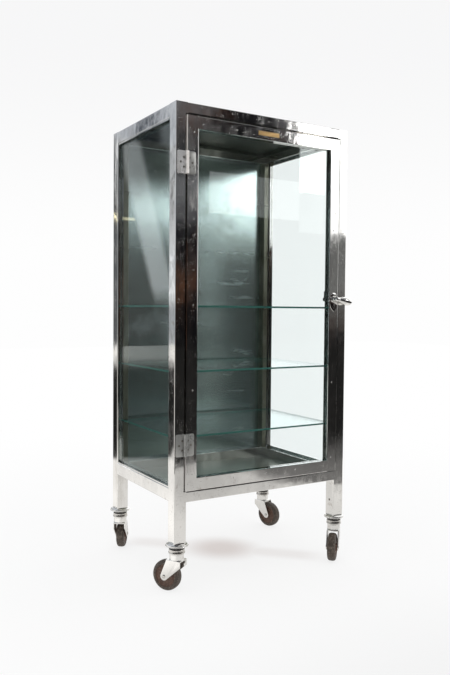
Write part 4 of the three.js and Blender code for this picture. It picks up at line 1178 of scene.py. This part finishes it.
def reflected_floor(f, x, y, reach):
    """What metal and glass show of the floor: warm paper, ending in the dark of the room."""
    wobble = (f.noise(2.5, 3) - 0.5) * 0.12
    far, right, left = f.rise(reach, 0.8, 1.6), f.rise(x, 0.6, 1.0), f.rise(-x, 0.45, 0.65)
    level = 0.84 - far * 0.2 + right * 0.25 + left * 0.36
    warm = f.glow(f.blend(BLACK, [c * BRIGHTEST_WARM for c in (1, 0.985, 0.96)], level / BRIGHTEST_WARM))
    near_line = (x - 0.61) * 0.54 - 1.37 - y + wobble
    right_grey = f.rise(x + wobble, 0.72, 0.95) * f.rise(near_line, -0.02, 0.06)
    front_dark = f.rise(y + wobble * 0.5, -1.87, -1.95)
    lean = -x / y.larger(0.05)
    left_dark = f.within(lean, 0.3, 0.8, 0.04) * f.rise(y, 0.5, 0.8)
    left_dark *= f.rise(reach + wobble, 1.95, 2.1) * f.rise(reach, 12, 8)
    dark = right_grey.larger(front_dark).larger(left_dark)
    gloom = 0.016 + f.rise(reach, 3.2, 1.7) * right_grey * 0.17
    room = f.glow(f.blend(BLACK, [c * BRIGHTEST_GLOOM for c in (1, 0.98, 0.96)], gloom / BRIGHTEST_GLOOM))
    return f.mixed(warm, room, dark)


def make_floor():
    floor = prism(rectangle(FLOOR_HALF, FLOOR_HALF), -2 * MM, Matrix.Identity(4))
    floor.name = "studio floor"
    floor.data.materials.append(material("white paper", studio_floor))


def front_room(f, way, x, y, z):
    """The dark side of the studio: near black, with brown and grey shapes in it."""
    shapes = f.noise(9, 3, 0.6, where=f.moved(shift=(0, 0, -0.085), source=way))
    clouds = f.noise(7, 4, 0.65, where=way)
    across = x / (-y).larger(0.05)
    dark = f.blend((0.006, 0.006, 0.007), (0.085, 0.042, 0.026), f.rise(shapes, 0.52, 0.66))
    upper = f.rise(z, 0.1, 0.17)
    dark = f.blend(dark, (0.07, 0.073, 0.08), upper * f.rise(clouds, 0.42, 0.62) * 0.7)
    curtain = f.rise(across, 0.6, 0.545) * upper
    dark = f.blend(dark, (0.15, 0.155, 0.165), curtain * f.rise(clouds, 0.3, 0.55))
    beside = f.rise(across, 0.76, 0.83) * f.rise(z, -0.06, 0.09)
    dark = f.blend(dark, (0.26, 0.265, 0.26), beside * (0.5 + f.rise(clouds, 0.35, 0.6) * 0.5))
    return f.blend(dark, (1.3, 1.3, 1.3), f.rise(across, 1.4, 2.0) * f.rise(z, -0.05, 0.05))


def back_room(f, way, x, y, z):
    """The pale side of the studio, with a lit strip and dark gaps at the back left."""
    clouds = f.noise(12, 3, 0.6, where=way)
    behind = y.larger(0.05)
    lean, lift = x / behind, z / behind
    pale = f.blend((0.72, 0.74, 0.76), (0.42, 0.45, 0.48), f.rise(clouds, 0.4, 0.62))
    gap = f.within(lean, -0.497, -0.3, 0.006)
    pale = f.blend(pale, (0.1, 0.105, 0.11), gap * f.rise(clouds, 0.7, 0.5))
    pale = f.blend(pale, (1.35, 1.36, 1.38), f.rise(lean, 0.1, 0.5) * f.rise(lift, -0.05, 0.05))
    strip = f.within(lean - lift * 0.26, -0.514, -0.478, 0.006) * f.rise(lift, 0.0, 0.04)
    glare = f.blend((1.7, 1.75, 1.8), (0.95, 0.97, 1.0), f.rise(lift, 0.05, 0.2))
    crown = f.rise(lift, 0.25, 0.262)
    leaves = f.rise(f.noise(22, 4, 0.65, where=way), 0.5, 0.64)
    beside = f.rise(lean, -0.442, -0.436) + f.rise(lean, -0.476, -0.492)
    sky = f.blend((0.05, 0.06, 0.08), (0.7, 0.74, 0.8), (leaves + beside * 0.8).clipped())
    line = f.within(lift, 0.1355, 0.1395, 0.001) * f.rise(lean, -0.442, -0.438)
    seen = f.blend(f.blend(pale, glare, strip), sky, crown * f.rise(lean, 0.0, -0.1))
    return f.blend(seen, (2.4, 2.2, 1.5), line)


def make_world():
    """White for the camera. Reflections show a pale room behind the cabinet and a dark one before it."""
    world = bpy.data.worlds.new("studio")
    bpy.context.scene.world = world
    world.use_nodes = True
    f = Finish(world.node_tree)
    way = f.add("ShaderNodeTexCoord", output="Generated")
    x, y, z = f.axes(way)
    room = f.blend(back_room(f, way, x, y, z), front_room(f, way, x, y, z), f.rise(y, 0.1, -0.1))
    backdrop = f.blend((0.99, 0.99, 0.99), (0.93, 0.93, 0.935), f.rise(z, 0.06, 0.36))
    colour = f.blend((0.93, 0.935, 0.94), room, f.seen_by("Glossy"))
    colour = f.blend(colour, backdrop, f.seen_by("Camera"))
    f.give(f.add("ShaderNodeBackground", None, {"Color": colour, "Strength": 1.0}), "ShaderNodeOutputWorld")


def make_studio():
    make_camera()
    make_world()
    make_floor()
    for name, (low_x, high_x), (low_z, high_z), glow in WINDOW_LAMPS:
        place = ((low_x + high_x) / 2, WINDOW_PLANE, (low_z + high_z) / 2)
        softbox(name, place, BACK, high_x - low_x, high_z - low_z, glow, lights=False)
    softbox("top softbox", (0.0, -0.2, 3.2), -UP, width=2.5, height=2.0, glow=0.5, shows=False)


make_studio()

scene = bpy.context.scene
scene.view_settings.view_transform = "Standard"
